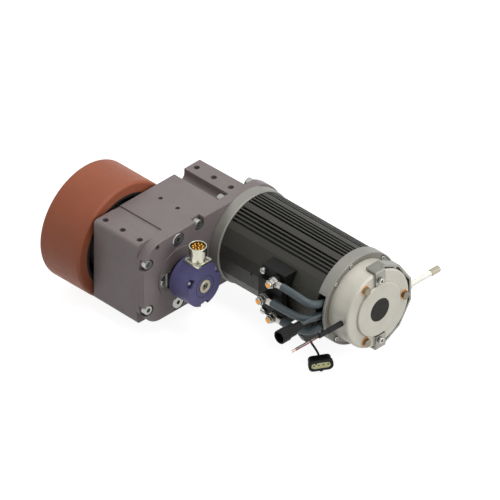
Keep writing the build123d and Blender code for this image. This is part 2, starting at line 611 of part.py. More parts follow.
# Gearbox housing casting, open towards the cover
def gearbox_housing():
    plan = Polyline(
        (HOUSING_LEFT_X, HOUSING_FRONT_Y),
        (HOUSING_RIGHT_X, HOUSING_FRONT_Y),
        (HOUSING_RIGHT_X - HOUSING_DRAFT, HOUSING_BACK_Y),
        (HOUSING_LEFT_X + HOUSING_DRAFT, HOUSING_BACK_Y),
        close=True,
    )
    body = extrude(make_face(plan), amount=HOUSING_BOTTOM_Z)
    left = body.faces().sort_by(Axis.X)[0]
    long_edges = [e for e in left.edges() if abs(e.tangent_at(0.5).Y) > 0.9]
    body = fillet(long_edges, HOUSING_EDGE_RADIUS)
    right_edges = [e for e in body.faces().sort_by(Axis.X)[-1].edges() if abs(e.tangent_at(0.5).Y) > 0.9]
    body = fillet(right_edges, 2.0)
    # Grooves on top and underneath leave two end pads for the frame's brackets
    half = GROOVE_WIDTH / 2
    floor_rise = FLANGE_SCREW_Z - M8_HEAD_RADIUS - GROOVE_SCREW_AIR
    for edge_z, way in ((0, 1), (HOUSING_BOTTOM_Z, -1)):
        middle_z = AXIS_Z + way * (floor_rise + half)
        outline = Pos(GROOVE_X, middle_z) * Circle(half)
        outline += Pos(GROOVE_X, (middle_z + edge_z + way) / 2) * Rectangle(GROOVE_WIDTH, abs(middle_z - edge_z) + 1)
        body -= prism_y(outline, HOUSING_FRONT_Y, HOUSING_BACK_Y)
    relief = make_face(Polyline((RELIEF_LEFT_X, 0), (RELIEF_RIGHT_X, -RELIEF_DEPTH), (RELIEF_RIGHT_X, 1),
                                (RELIEF_LEFT_X, 1), close=True))
    body -= prism_y(relief, RELIEF_FRONT_Y, HOUSING_BACK_Y)
    # Nose round the motor pinion and the bearing boss on the wheel side
    nose = rod_y(MOTOR_X, AXIS_Z, HOUSING_FRONT_Y, HOUSING_FRONT_Y + NOSE_DEPTH, NOSE_RADIUS)
    body += fillet(nose.edges().filter_by(GeomType.CIRCLE).sort_by(Axis.Y)[-1], 4.0)
    boss = turned(WHEEL_X, AXIS_Z, [
        (0, HOUSING_BACK_Y - 1), (BOSS_RADIUS + 4, HOUSING_BACK_Y - 1), (BOSS_RADIUS + 4, HOUSING_BACK_Y),
        (BOSS_RADIUS + 2, HOUSING_BACK_Y + 2), (BOSS_RADIUS, HOUSING_BACK_Y + 5), (BOSS_RADIUS, BOSS_BACK_Y - 2),
        (BOSS_RADIUS - 2, BOSS_BACK_Y), (0, BOSS_BACK_Y),
    ])
    body += boss
    # Gear pockets, bearing seats and the seal seat
    open_y = HOUSING_FRONT_Y
    body -= rod_y(WHEEL_X, AXIS_Z, open_y, CAVITY_Y1, OUTPUT_TIP + GEAR_AIR)
    body -= rod_y(MIDDLE_X, AXIS_Z, open_y, STEP_Y, MIDDLE_TIP + GEAR_AIR)
    body -= rod_y(MIDDLE_X, AXIS_Z, open_y, CAVITY_Y1, MIDDLE_BACK_BEARING[1] / 2 + 0.5)
    body -= rod_y(MOTOR_X, AXIS_Z, open_y, STEP_Y, MOTOR_PINION_TIP + GEAR_AIR)
    body -= rod_y(MIDDLE_X, AXIS_Z, CAVITY_Y1, MIDDLE_BACK_Y1, MIDDLE_BACK_BEARING[1] / 2)
    body -= rod_y(WHEEL_X, AXIS_Z, CAVITY_Y1, OUTPUT_BEARING_Y, SHOULDER_BORE_RADIUS)
    body -= rod_y(WHEEL_X, AXIS_Z, OUTPUT_BEARING_Y, BOSS_BACK_Y, OUTPUT_BEARING[1] / 2)
    # Tapped holes in the top face and for the cover screws
    for side in (-1, 1):
        for row in (-1, 0, 1):
            body -= rod_z(side * MOUNT_HOLE_X, row * MOUNT_HOLE_PITCH_Y, -MOUNT_HOLE_DEPTH, 0,
                          MOUNT_HOLE_DIAMETER / 2)
    for row in (-0.5, 0.5):
        body -= rod_z(SMALL_HOLE_X, row * SMALL_HOLE_PITCH_Y, -SMALL_HOLE_DEPTH, 0, SMALL_HOLE_DIAMETER / 2)
    screw_end = COVER_SEAT_Y + COVER_SCREW_LENGTH
    for x, z in COVER_SCREW_PLACES:
        body -= rod_y(x, z, HOUSING_FRONT_Y, screw_end + 1, M8_RADIUS)
    return body


# Cover plate that carries the motor flange, the encoder and two oil plugs
def gearbox_cover():
    width = MOTOR_X - COVER_LEFT_X
    plate = Pos(COVER_LEFT_X + width / 2, HOUSING_BOTTOM_Z / 2) * Rectangle(width, -HOUSING_BOTTOM_Z)
    plate = fillet(plate.vertices().group_by(Axis.X)[0], COVER_CORNER_RADIUS)
    flange = Pos(MOTOR_X, AXIS_Z) * Circle(MOTOR_FLANGE_RADIUS)
    flange &= Pos(MOTOR_X, HOUSING_BOTTOM_Z / 2) * Rectangle(3 * MOTOR_FLANGE_RADIUS, -HOUSING_BOTTOM_Z)
    body = prism_y(plate + flange, COVER_FRONT_Y, HOUSING_FRONT_Y)
    body = fillet(body.faces().sort_by(Axis.Y)[0].edges(), COVER_EDGE_RADIUS)
    body += rod_y(WHEEL_X, AXIS_Z, BOSS_FACE_Y, COVER_FRONT_Y, ENCODER_BOSS_RADIUS)
    # Screw seats, each opened by a slot to the nearest edge
    for x, z in COVER_SCREW_PLACES:
        body -= rod_y(x, z, COVER_FRONT_Y, COVER_SEAT_Y, COUNTERBORE_RADIUS)
        body -= rod_y(x, z, COVER_SEAT_Y, HOUSING_FRONT_Y, M8_RADIUS + M8_CLEARANCE)
        if x == COVER_SCREW_LEFT_X:
            body -= block(COVER_LEFT_X - 1, x, COVER_FRONT_Y, COVER_SEAT_Y, z - COUNTERBORE_RADIUS, z + COUNTERBORE_RADIUS)
        else:
            edge_z = 1 if z > AXIS_Z else HOUSING_BOTTOM_Z - 1
            body -= block(x - COUNTERBORE_RADIUS, x + COUNTERBORE_RADIUS, COVER_FRONT_Y, COVER_SEAT_Y,
                          min(z, edge_z), max(z, edge_z))
    for z in OIL_PLUG_PLACES:
        body -= rod_y(OIL_PLUG_X, z, COVER_FRONT_Y, COVER_FRONT_Y + OIL_PLUG_SINK, OIL_PLUG_RING_RADIUS)
        body -= rod_y(OIL_PLUG_X, z, COVER_FRONT_Y, COVER_FRONT_Y + OIL_PLUG_SINK + OIL_PLUG_LENGTH,
                      OIL_PLUG_RADIUS)
        way_z = z + (AXIS_Z - z) / abs(AXIS_Z - z) * (OIL_PLUG_RADIUS - OIL_WAY_DIAMETER / 2 - 0.7)
        body -= rod_y(OIL_PLUG_X, way_z, COVER_FRONT_Y, HOUSING_FRONT_Y, OIL_WAY_DIAMETER / 2)
    body -= rod_y(VENT_HOLE_X, -VENT_HOLE_DROP, COVER_FRONT_Y, COVER_FRONT_Y + VENT_HOLE_DEPTH, VENT_HOLE_RADIUS)
    # Bearing seats on the wheel axis and the middle shaft, motor pilot
    spindle_bore = SPINDLE_BEARING[0] / 2 + 2
    body -= rod_y(WHEEL_X, AXIS_Z, HOUSING_FRONT_Y - SPINDLE_BEARING[2], HOUSING_FRONT_Y, SPINDLE_BEARING[1] / 2)
    body -= rod_y(WHEEL_X, AXIS_Z, BOSS_FACE_Y, HOUSING_FRONT_Y, spindle_bore)
    body -= rod_y(MIDDLE_X, AXIS_Z, HOUSING_FRONT_Y - MIDDLE_FRONT_BEARING[2] - BEARING_END_AIR,
                  HOUSING_FRONT_Y, MIDDLE_FRONT_BEARING[1] / 2)
    body -= rod_y(MOTOR_X, AXIS_Z, COVER_FRONT_Y, HOUSING_FRONT_Y, MOTOR_PILOT_RADIUS)
    for x, z in FLANGE_SCREW_PLACES:
        body -= rod_y(x, z, COVER_FRONT_Y, HOUSING_FRONT_Y, M8_RADIUS + M8_CLEARANCE)
    for x, z in ENCODER_FOOT_PLACES:
        body -= rod_y(x, z, BOSS_FACE_Y, BOSS_FACE_Y + ENCODER_FOOT_DEPTH, ENCODER_FOOT_RADIUS)
    return body


def cover_screws():
    return [cap_screw(x, z, COVER_SEAT_Y, COVER_SCREW_LENGTH, 1) for x, z in COVER_SCREW_PLACES]


def motor_flange_screws():
    return [cap_screw(x, z, HOUSING_FRONT_Y, FLANGE_SCREW_LENGTH, -1) for x, z in FLANGE_SCREW_PLACES]


def oil_plugs():
    plugs = []
    for z in OIL_PLUG_PLACES:
        plug = rod_y(OIL_PLUG_X, z, COVER_FRONT_Y, COVER_FRONT_Y + OIL_PLUG_SINK + OIL_PLUG_LENGTH, OIL_PLUG_RADIUS)
        plug = chamfer(plug.edges().filter_by(GeomType.CIRCLE).sort_by(Axis.Y)[0], OIL_PLUG_EDGE)
        plugs.append(plug - hexagon_y(OIL_PLUG_X, z, COVER_FRONT_Y, COVER_FRONT_Y + OIL_PLUG_SOCKET_DEPTH,
                                      OIL_PLUG_SOCKET_ACROSS))
    return plugs


# Ball bearing with recessed shields, as one ring
def bearing(x, y0, size):
    bore, outer, width = size
    inner = bore / 2 + RUNNING_FIT
    outside = outer / 2 - BEARING_FIT
    wall = (outside - inner) / 4
    dip = 0.7
    y1 = y0 + width
    return turned(x, AXIS_Z, [
        (inner, y0), (inner + wall, y0), (inner + wall, y0 + dip), (outside - wall, y0 + dip),
        (outside - wall, y0), (outside, y0), (outside, y1), (outside - wall, y1),
        (outside - wall, y1 - dip), (inner + wall, y1 - dip), (inner + wall, y1), (inner, y1),
    ])


def output_bearings():
    return [bearing(WHEEL_X, OUTPUT_BEARING_Y + n * OUTPUT_BEARING_PITCH, OUTPUT_BEARING) for n in (0, 1)]


def middle_bearings():
    return [
        bearing(MIDDLE_X, MIDDLE_BACK_Y0, MIDDLE_BACK_BEARING),
        bearing(MIDDLE_X, HOUSING_FRONT_Y - MIDDLE_FRONT_BEARING[2], MIDDLE_FRONT_BEARING),
    ]


def spindle_bearing():
    return bearing(WHEEL_X, HOUSING_FRONT_Y - SPINDLE_BEARING[2], SPINDLE_BEARING)


def output_seal():
    inner = OUTPUT_BEARING[0] / 2 + RUNNING_FIT
    outer = OUTPUT_BEARING[1] / 2 - BEARING_FIT
    return turned(WHEEL_X, AXIS_Z, [
        (inner, SEAL_Y0), (inner + 2, SEAL_Y0), (inner + 4, SEAL_Y0 + 4), (outer - 2, SEAL_Y0 + 4),
        (outer - 2, SEAL_Y0), (outer, SEAL_Y0), (outer, BOSS_BACK_Y - 0.5), (inner, BOSS_BACK_Y - 0.5),
    ])


# Wheel body: shaft with flange, gear, hub, tread and its bolts
def output_shaft():
    shaft = OUTPUT_BEARING[0] / 2
    start = SECOND_GEAR_Y0 - 2
    flange_end = OUTPUT_FLANGE_Y + OUTPUT_FLANGE_THICKNESS
    body = turned(WHEEL_X, AXIS_Z, [
        (0, start), (shaft + 2, start), (shaft + 2, SECOND_GEAR_Y1), (shaft + 5, SECOND_GEAR_Y1),
        (shaft + 5, OUTPUT_BEARING_Y), (shaft, OUTPUT_BEARING_Y), (shaft, OUTPUT_FLANGE_Y - 1),
        (shaft + 6, OUTPUT_FLANGE_Y), (OUTPUT_FLANGE_RADIUS, OUTPUT_FLANGE_Y),
        (OUTPUT_FLANGE_RADIUS, flange_end), (HUB_BORE_RADIUS, flange_end),
        (HUB_BORE_RADIUS, flange_end + PILOT_LENGTH - 1), (HUB_BORE_RADIUS - 1, flange_end + PILOT_LENGTH),
        (0, flange_end + PILOT_LENGTH),
    ])
    for x, z in wheel_bolt_places():
        body -= rod_y(x, z, OUTPUT_FLANGE_Y, flange_end, M8_RADIUS)
    return body


def output_gear():
    return spur_gear(WHEEL_X, OUTPUT_GEAR_TEETH, 0.0, SECOND_GEAR_Y0, SECOND_GEAR_Y1,
                     OUTPUT_BEARING[0] / 2 + 2, GEAR_WEB_THICKNESS, OUTPUT_BEARING[0] / 2 + 2 + GEAR_HUB_WALL)


def wheel_bolt_places():
    angles = [360 * n / WHEEL_BOLT_COUNT for n in range(WHEEL_BOLT_COUNT)]
    return [(WHEEL_X + x, AXIS_Z + z) for x, z in ring_places(WHEEL_BOLT_CIRCLE, angles)]


def wheel_hub():
    rim = TREAD_RADIUS - TREAD_THICKNESS
    inner = rim - RIM_THICKNESS
    web = OUTPUT_FLANGE_Y + OUTPUT_FLANGE_THICKNESS
    web_end = web + HUB_WEB_THICKNESS
    end = WHEEL_FRONT_Y + WHEEL_WIDTH
    body = turned(WHEEL_X, AXIS_Z, [
        (HUB_BORE_RADIUS, web), (inner - HUB_CORNER, web), (inner, web - HUB_CORNER), (inner, WHEEL_FRONT_Y + 1),
        (inner + 1, WHEEL_FRONT_Y), (rim, WHEEL_FRONT_Y), (rim, end), (inner, end), (inner - 3, web_end),
        (HUB_BORE_RADIUS, web_end),
    ])
    for x, z in wheel_bolt_places():
        body -= rod_y(x, z, web_end - WHEEL_BOLT_SINK, web_end, M8_HEAD_RADIUS + 0.5)
        body -= rod_y(x, z, web, web_end, M8_RADIUS)
    return body


def wheel_tread():
    ring = rod_y(WHEEL_X, AXIS_Z, WHEEL_FRONT_Y, WHEEL_FRONT_Y + WHEEL_WIDTH, TREAD_RADIUS)
    ring = fillet(ring.edges().filter_by(GeomType.CIRCLE), TREAD_EDGE_RADIUS)
    return ring - rod_y(WHEEL_X, AXIS_Z, WHEEL_FRONT_Y, WHEEL_FRONT_Y + WHEEL_WIDTH,
                        TREAD_RADIUS - TREAD_THICKNESS)


def wheel_bolts():
    seat = OUTPUT_FLANGE_Y + OUTPUT_FLANGE_THICKNESS + HUB_WEB_THICKNESS - WHEEL_BOLT_SINK
    return [cap_screw(x, z, seat, WHEEL_BOLT_LENGTH, -1) for x, z in wheel_bolt_places()]


# Middle shaft with its pinion cut on it, and the first gear wheel
def intermediate_shaft():
    front = MIDDLE_FRONT_BEARING[0] / 2
    back = MIDDLE_BACK_BEARING[0] / 2
    seat = PINION_SEAT_RADIUS
    start = HOUSING_FRONT_Y - MIDDLE_FRONT_BEARING[2]
    body = turned(MIDDLE_X, AXIS_Z, [
        (0, start), (front - 0.6, start), (front, start + 0.6), (front, FIRST_GEAR_Y0), (seat, FIRST_GEAR_Y0),
        (seat, SECOND_GEAR_Y1 + 1), (back, SECOND_GEAR_Y1 + 1), (back, MIDDLE_BACK_Y1), (0, MIDDLE_BACK_Y1),
    ])
    start_angle = pi + pi / MIDDLE_PINION_TEETH
    pinion = spur_gear(MIDDLE_X, MIDDLE_PINION_TEETH, start_angle, SECOND_GEAR_Y0, SECOND_GEAR_Y1, seat / 2)
    return body + pinion


def intermediate_gear():
    return spur_gear(MIDDLE_X, MIDDLE_GEAR_TEETH, 0.0, FIRST_GEAR_Y0, FIRST_GEAR_Y1, PINION_SEAT_RADIUS,
                     GEAR_WEB_THICKNESS, PINION_SEAT_RADIUS + GEAR_HUB_WALL)


# Motor front shield with its pilot, bearing seat and seal seat
def motor_front_shield():
    seat = MOTOR_BEARING[1] / 2
    seat_end = SHIELD_BACK_Y + MOTOR_BEARING[2] + BEARING_END_AIR
    pilot = MOTOR_PILOT_RADIUS - RUNNING_FIT
    body = turned(MOTOR_X, AXIS_Z, [
        (MOTOR_SEAL_RADIUS, seat_end), (MOTOR_SEAL_RADIUS, PILOT_END_Y), (pilot - 1, PILOT_END_Y),
        (pilot, PILOT_END_Y - 1), (pilot, COVER_FRONT_Y), (SHIELD_RADIUS, COVER_FRONT_Y),
        (SHIELD_RADIUS, SHIELD_BACK_Y + SHIELD_EDGE), (SHIELD_RADIUS - SHIELD_EDGE, SHIELD_BACK_Y),
        (seat, SHIELD_BACK_Y), (seat, seat_end),
    ])
    screw_end = HOUSING_FRONT_Y - FLANGE_SCREW_LENGTH
    for x, z in FLANGE_SCREW_PLACES:
        body -= rod_y(x, z, screw_end - 1, COVER_FRONT_Y, M8_RADIUS)
    return body


# Extruded motor housing: groups of cooling slots, flat facets on the terminal side
def motor_outline():
    outline = Circle(MOTOR_RADIUS)
    for first, second in zip(FACET_ANGLES, FACET_ANGLES[1:]):
        (x1, z1), (x2, z2) = ring_places(MOTOR_RADIUS, (first, second))
        outline -= make_face(Polyline((x1, z1), (1.2 * x1, 1.2 * z1), (1.2 * x2, 1.2 * z2), (x2, z2), close=True))
    slot = Pos(MOTOR_RADIUS - SLOT_DEPTH / 2 + 1, 0) * Rectangle(SLOT_DEPTH + 2, SLOT_WIDTH)
    for group in SLOT_GROUP_ANGLES:
        for n in range(SLOTS_IN_GROUP):
            outline -= Rot(0, 0, group + (n - (SLOTS_IN_GROUP - 1) / 2) * SLOT_PITCH) * slot
    return Pos(MOTOR_X, AXIS_Z) * outline


def motor_housing():
    body = prism_y(motor_outline(), MOTOR_END_Y, SHIELD_BACK_Y)
    body -= rod_y(MOTOR_X, AXIS_Z, MOTOR_END_Y, SHIELD_BACK_Y, MOTOR_BORE_RADIUS)
    for x, z in rear_screw_places():
        body -= rod_y(x, z, MOTOR_END_Y, REAR_FACE_Y + REAR_SCREW_LENGTH + 1, REAR_SCREW_RADIUS)
    for x, z in TERMINAL_SCREW_PLACES:
        body -= rod_x(TERMINAL_SCREW_Y, z, x, TERMINAL_SCREW_HOLE_X, TERMINAL_SCREW_RADIUS)
    return body


def rear_screw_places():
    return [(MOTOR_X + x, AXIS_Z + z) for x, z in ring_places(REAR_SCREW_CIRCLE, REAR_SCREW_ANGLES)]


def motor_rear_shield():
    rim = REAR_RING_RADIUS
    web = REAR_FACE_Y + REAR_WEB_THICKNESS
    seat = MOTOR_BEARING[1] / 2
    seat_end = REAR_FACE_Y + 2
    body = turned(MOTOR_X, AXIS_Z, [
        (seat, MOTOR_END_Y), (MOTOR_HUB_RADIUS, MOTOR_END_Y), (MOTOR_HUB_RADIUS, web), (MOTOR_BORE_RADIUS, web),
        (MOTOR_BORE_RADIUS, MOTOR_END_Y), (rim, MOTOR_END_Y), (rim, REAR_RING_END_Y + 0.8),
        (rim - 0.8, REAR_RING_END_Y), (rim - REAR_RIM_WIDTH, REAR_RING_END_Y), (rim - REAR_RIM_WIDTH, REAR_FACE_Y),
        (MOTOR_SHAFT_RADIUS + 2, REAR_FACE_Y), (MOTOR_SHAFT_RADIUS + 2, seat_end), (seat, seat_end),
    ])
    for x, z in rear_screw_places():
        body -= rod_y(x, z, REAR_FACE_Y, MOTOR_END_Y, REAR_SCREW_RADIUS + 0.3)
    for x, z in brake_screw_places():
        body -= rod_y(x, z, REAR_FACE_Y, web, BRAKE_SCREW_RADIUS)
    # Cut-out on the terminal side, where the cables go in
    reach = 1.3 * rim
    half = radians((CUTOUT_END_ANGLE - CUTOUT_START_ANGLE) / 2)
    wedge = make_face(Polyline((0, 0), (-reach * cos(half), reach * sin(half)), (-1.2 * reach, 0),
                               (-reach * cos(half), -reach * sin(half)), close=True))
    wedge -= Circle(CUTOUT_INNER_RADIUS)
    body -= prism_y(Pos(MOTOR_X, AXIS_Z) * wedge, CUTOUT_END_Y, MOTOR_END_Y)
    return body


def rear_shield_screws():
    return [
        cap_screw(x, z, REAR_FACE_Y, REAR_SCREW_LENGTH, 1, REAR_SCREW_RADIUS, REAR_SCREW_HEAD_RADIUS,
                  REAR_SCREW_HEAD, REAR_SCREW_SOCKET_ACROSS, REAR_SCREW_SOCKET)
        for x, z in rear_screw_places()
    ]


def stator_core():
    outline = Circle(MOTOR_BORE_RADIUS - BEARING_FIT) - Circle(STATOR_BORE_RADIUS)
    slot_start = STATOR_BORE_RADIUS + 1
    slot_end = MOTOR_BORE_RADIUS - STATOR_YOKE
    slot = Pos((slot_start + slot_end) / 2, 0) * Rectangle(slot_end - slot_start, STATOR_SLOT_WIDTH)
    for n in range(STATOR_TOOTH_COUNT):
        outline -= Rot(0, 0, 360 * n / STATOR_TOOTH_COUNT) * slot
    return prism_y(Pos(MOTOR_X, AXIS_Z) * outline, STATOR_Y0, STATOR_Y1)


def stator_windings():
    outer = MOTOR_BORE_RADIUS - WINDING_AIR
    inner = STATOR_BORE_RADIUS + 2
    ends = []
    for y0, y1 in ((STATOR_Y1, STATOR_Y1 + WINDING_LENGTH), (STATOR_Y0 - WINDING_LENGTH, STATOR_Y0)):
        ring = rod_y(MOTOR_X, AXIS_Z, y0, y1, outer, inner)
        ends.append(fillet(ring.edges().filter_by(GeomType.CIRCLE), (outer - inner) / 4))
    return ends


def motor_bearings():
    return [
        bearing(MOTOR_X, SHIELD_BACK_Y, MOTOR_BEARING),
        bearing(MOTOR_X, REAR_FACE_Y + 2 + BEARING_END_AIR, MOTOR_BEARING),
    ]


def motor_seal():
    inner = MOTOR_BEARING[0] / 2 + RUNNING_FIT
    return rod_y(MOTOR_X, AXIS_Z, PILOT_END_Y - MOTOR_SEAL_WIDTH - 1, PILOT_END_Y - 1,
                 MOTOR_SEAL_RADIUS - BEARING_FIT, inner)


# Rotor body: shaft with its pinion, laminated rotor and the brake disc with its hub
def motor_shaft():
    journal = MOTOR_BEARING[0] / 2
    rear_seat = REAR_FACE_Y + 2 + BEARING_END_AIR + MOTOR_BEARING[2]
    end = DISC_Y0 - 4
    shaft = turned(MOTOR_X, AXIS_Z, [
        (0, FIRST_GEAR_Y1), (journal - 1, FIRST_GEAR_Y1), (journal, FIRST_GEAR_Y1 - 1), (journal, SHIELD_BACK_Y),
        (MOTOR_SHAFT_RADIUS, SHIELD_BACK_Y), (MOTOR_SHAFT_RADIUS, rear_seat), (journal, rear_seat),
        (journal, end + 1), (journal - 1, end), (0, end),
    ])
    start_angle = pi + pi / MOTOR_PINION_TEETH
    pinion = spur_gear(MOTOR_X, MOTOR_PINION_TEETH, start_angle, FIRST_GEAR_Y0, FIRST_GEAR_Y1, journal / 2)
    return shaft + pinion


def motor_rotor():
    radius = STATOR_BORE_RADIUS - ROTOR_AIR
    outline = Circle(radius) - Circle(MOTOR_SHAFT_RADIUS)
    slot = Pos(radius - ROTOR_SLOT_EDGE, 0) * Rectangle(ROTOR_SLOT_THICKNESS, ROTOR_SLOT_WIDTH)
    for n in range(ROTOR_POLES):
        outline -= Rot(0, 0, 360 * n / ROTOR_POLES) * slot
    return prism_y(Pos(MOTOR_X, AXIS_Z) * outline, STATOR_Y0, STATOR_Y1)


def brake_disc():
    journal = MOTOR_BEARING[0] / 2
    hub = journal + 4
    disc = rod_y(MOTOR_X, AXIS_Z, DISC_Y0, DISC_Y1, BRAKE_DISC_RADIUS, hub)
    collar = hexagon_y(MOTOR_X, AXIS_Z, DISC_Y0 - 3, DISC_Y1, 2 * hub + 3)
    return disc + collar - rod_y(MOTOR_X, AXIS_Z, DISC_Y0 - 3, DISC_Y1, journal)


# Holding brake: cover, magnet, coil and springs stay, the armature slides
def brake_screw_places():
    return [(MOTOR_X + x, AXIS_Z + z) for x, z in ring_places(BRAKE_SCREW_CIRCLE, BRAKE_SCREW_ANGLES)]


def release_screw_places():
    return [(MOTOR_X, AXIS_Z + way * RELEASE_SCREW_CIRCLE) for way in (1, -1)]


def brake_cover():
    inner = BRAKE_RADIUS - BRAKE_WALL
    body = turned(MOTOR_X, AXIS_Z, [
        (inner, REAR_FACE_Y), (BRAKE_RADIUS, REAR_FACE_Y), (BRAKE_RADIUS, BRAKE_FACE_Y),
        (BRAKE_BOSS_RADIUS, BRAKE_FACE_Y), (BRAKE_BOSS_RADIUS, BRAKE_BOSS_Y), (BRAKE_HOLE_RADIUS, BRAKE_BOSS_Y),
        (BRAKE_HOLE_RADIUS, MAGNET_Y0), (inner, MAGNET_Y0),
    ])
    rings = body.edges().filter_by(GeomType.CIRCLE)
    body = fillet([e for e in rings if abs(e.radius - BRAKE_RADIUS) < 0.1 and e.center().Y < BRAKE_FACE_Y + 1],
                  BRAKE_EDGE_RADIUS)
    rings = body.edges().filter_by(GeomType.CIRCLE)
    body = fillet([e for e in rings if abs(e.radius - BRAKE_BOSS_RADIUS) < 0.1 and e.center().Y < BRAKE_FACE_Y - 1],
                  BRAKE_BOSS_FILLET)
    for x, z in brake_screw_places():
        body -= rod_y(x, z, BRAKE_FACE_Y, MAGNET_Y0, BRAKE_SCREW_RADIUS + 0.3)
    for x, z in release_screw_places():
        body -= rod_y(x, z, BRAKE_FACE_Y, MAGNET_Y0, RELEASE_SCREW_RADIUS + 0.6)
    # Grooves that the round ribs of the release lever rock in
    for z0, z1 in lever_tab_spans():
        body -= rod_z(LEVER_PIVOT_X, LEVER_TAB_Y, z0 - 0.2, z1 + 0.2, LEVER_RIB_RADIUS + RUNNING_FIT)
    return body - rod_x(LEAD_HOLE_Y, AXIS_Z, MOTOR_X - BRAKE_RADIUS - 1, MOTOR_X - inner + 2, SLEEVE_RADIUS)


def brake_plug():
    start = BRAKE_BOSS_Y + BRAKE_CAP_SINK
    cap = rod_y(MOTOR_X, AXIS_Z, start, start + BRAKE_CAP_THICKNESS, BRAKE_HOLE_RADIUS - BEARING_FIT)
    return chamfer(cap.edges().filter_by(GeomType.CIRCLE).sort_by(Axis.Y)[0], 0.4)


def brake_magnet():
    outer = BRAKE_RADIUS - BRAKE_WALL - BEARING_FIT
    body = rod_y(MOTOR_X, AXIS_Z, MAGNET_Y0, MAGNET_Y1, outer, MAGNET_BORE_RADIUS)
    body -= rod_y(MOTOR_X, AXIS_Z, MAGNET_Y1 - COIL_DEPTH, MAGNET_Y1, COIL_OUTER_RADIUS, COIL_INNER_RADIUS)
    for x, z in brake_screw_places():
        body -= rod_y(x, z, MAGNET_Y0, MAGNET_Y1, BRAKE_SCREW_RADIUS + 0.3)
    for x, z in release_screw_places():
        body -= rod_y(x, z, MAGNET_Y0, MAGNET_Y1, RELEASE_SCREW_RADIUS + 0.6)
    for x, z in spring_places():
        body -= rod_y(x, z, MAGNET_Y1 - COIL_DEPTH, MAGNET_Y1, SPRING_RADIUS + 0.2)
    return body


def spring_places():
    return [(MOTOR_X + x, AXIS_Z + z) for x, z in ring_places(SPRING_CIRCLE, SPRING_ANGLES)]


def brake_coil():
    return rod_y(MOTOR_X, AXIS_Z, MAGNET_Y1 - COIL_DEPTH, MAGNET_Y1 - 1, COIL_OUTER_RADIUS - 0.1,
                 COIL_INNER_RADIUS + 0.1)


def brake_springs():
    end = ARMATURE_Y0 - BRAKE_RELEASE_TRAVEL - 0.1
    return [rod_y(x, z, MAGNET_Y1 - COIL_DEPTH, end, SPRING_RADIUS, SPRING_RADIUS - 1) for x, z in spring_places()]


def brake_armature():
    body = rod_y(MOTOR_X, AXIS_Z, ARMATURE_Y0, ARMATURE_Y1, ARMATURE_RADIUS, MAGNET_BORE_RADIUS)
    for x, z in brake_screw_places():
        body -= rod_y(x, z, ARMATURE_Y0, ARMATURE_Y1, BRAKE_SCREW_RADIUS + 0.8)
    for x, z in release_screw_places():
        body -= rod_y(x, z, ARMATURE_Y0, ARMATURE_Y1, RELEASE_SCREW_RADIUS)
    return body


def brake_screws():
    screws = []
    for x, z in brake_screw_places():
        head = hexagon_y(x, z, BRAKE_SCREW_SEAT_Y - BRAKE_SCREW_HEAD, BRAKE_SCREW_SEAT_Y, BRAKE_SCREW_ACROSS)
        screws.append(head + rod_y(x, z, BRAKE_SCREW_SEAT_Y, BRAKE_SCREW_SEAT_Y + BRAKE_SCREW_LENGTH,
                                   BRAKE_SCREW_RADIUS))
    return screws


def brake_washers():
    return [
        rod_y(x, z, BRAKE_SCREW_SEAT_Y, BRAKE_FACE_Y, BRAKE_WASHER_RADIUS, BRAKE_SCREW_RADIUS)
        for x, z in brake_screw_places()
    ]


def release_screws():
    return [
        cap_screw(x, z, RELEASE_SEAT_Y, ARMATURE_Y1 - RELEASE_SEAT_Y, 1, RELEASE_SCREW_RADIUS,
                  RELEASE_SCREW_HEAD_RADIUS, RELEASE_SCREW_HEAD, RELEASE_SCREW_ACROSS, RELEASE_SCREW_SOCKET)
        for x, z in release_screw_places()
    ]


# Release lever: a strap round the brake with two tabs that rock on the brake face
def lever_tab_spans():
    top = LEVER_TOP_RISE - LEVER_THICKNESS
    end = top - LEVER_TAB_LENGTH
    return [(AXIS_Z + end, AXIS_Z + top), (AXIS_Z - top, AXIS_Z - end)]


def release_lever():
    rise = LEVER_TOP_RISE
    outer = [(LEVER_PIVOT_X, rise), (LEVER_OUTLINE[0][0] - 2, rise)] + LEVER_OUTLINE
    outer += [(x, -z) for x, z in reversed(outer)]
    ribbon = make_face(Polyline(*outer, close=True))
    ribbon -= offset(ribbon, amount=-LEVER_THICKNESS)
    ribbon -= Pos(LEVER_PIVOT_X, 0) * Rectangle(2 * LEVER_THICKNESS + 0.01, 2 * rise - 2 * LEVER_THICKNESS)
    body = prism_y(Pos(0, AXIS_Z) * ribbon, LEVER_STRAP_Y0, LEVER_STRAP_Y1)
    for way in (1, -1):
        top = AXIS_Z + way * rise
        under = top - way * LEVER_THICKNESS
        end = under - way * LEVER_TAB_LENGTH
        plate = block(LEVER_PIVOT_X, LEVER_TAB_RIGHT_X, LEVER_TAB_Y - LEVER_THICKNESS, LEVER_STRAP_Y0,
                      min(top, under), max(top, under))
        tab = block(LEVER_PIVOT_X, LEVER_TAB_RIGHT_X, LEVER_TAB_Y - LEVER_THICKNESS, LEVER_TAB_Y,
                    min(end, under), max(end, under))
        bend = plate + tab
        corner = [e for e in bend.edges().filter_by(Axis.X)
                  if abs(e.center().Z - top) < 0.01 and e.center().Y < LEVER_TAB_Y - 1]
        body += fillet(corner, LEVER_THICKNESS - 0.4)
    for z0, z1 in lever_tab_spans():
        body += rod_z(LEVER_PIVOT_X, LEVER_TAB_Y, z0, z1, LEVER_RIB_RADIUS)
    for x, z in release_screw_places():
        body -= rod_y(x, z, LEVER_TAB_Y - LEVER_THICKNESS, LEVER_TAB_Y, RELEASE_SCREW_RADIUS + 0.8)
    return body - rod_x(HANDLE_Y, AXIS_Z, LEVER_GRIP_X - LEVER_THICKNESS - 1, LEVER_GRIP_X + 1, HANDLE_RADIUS - 1)


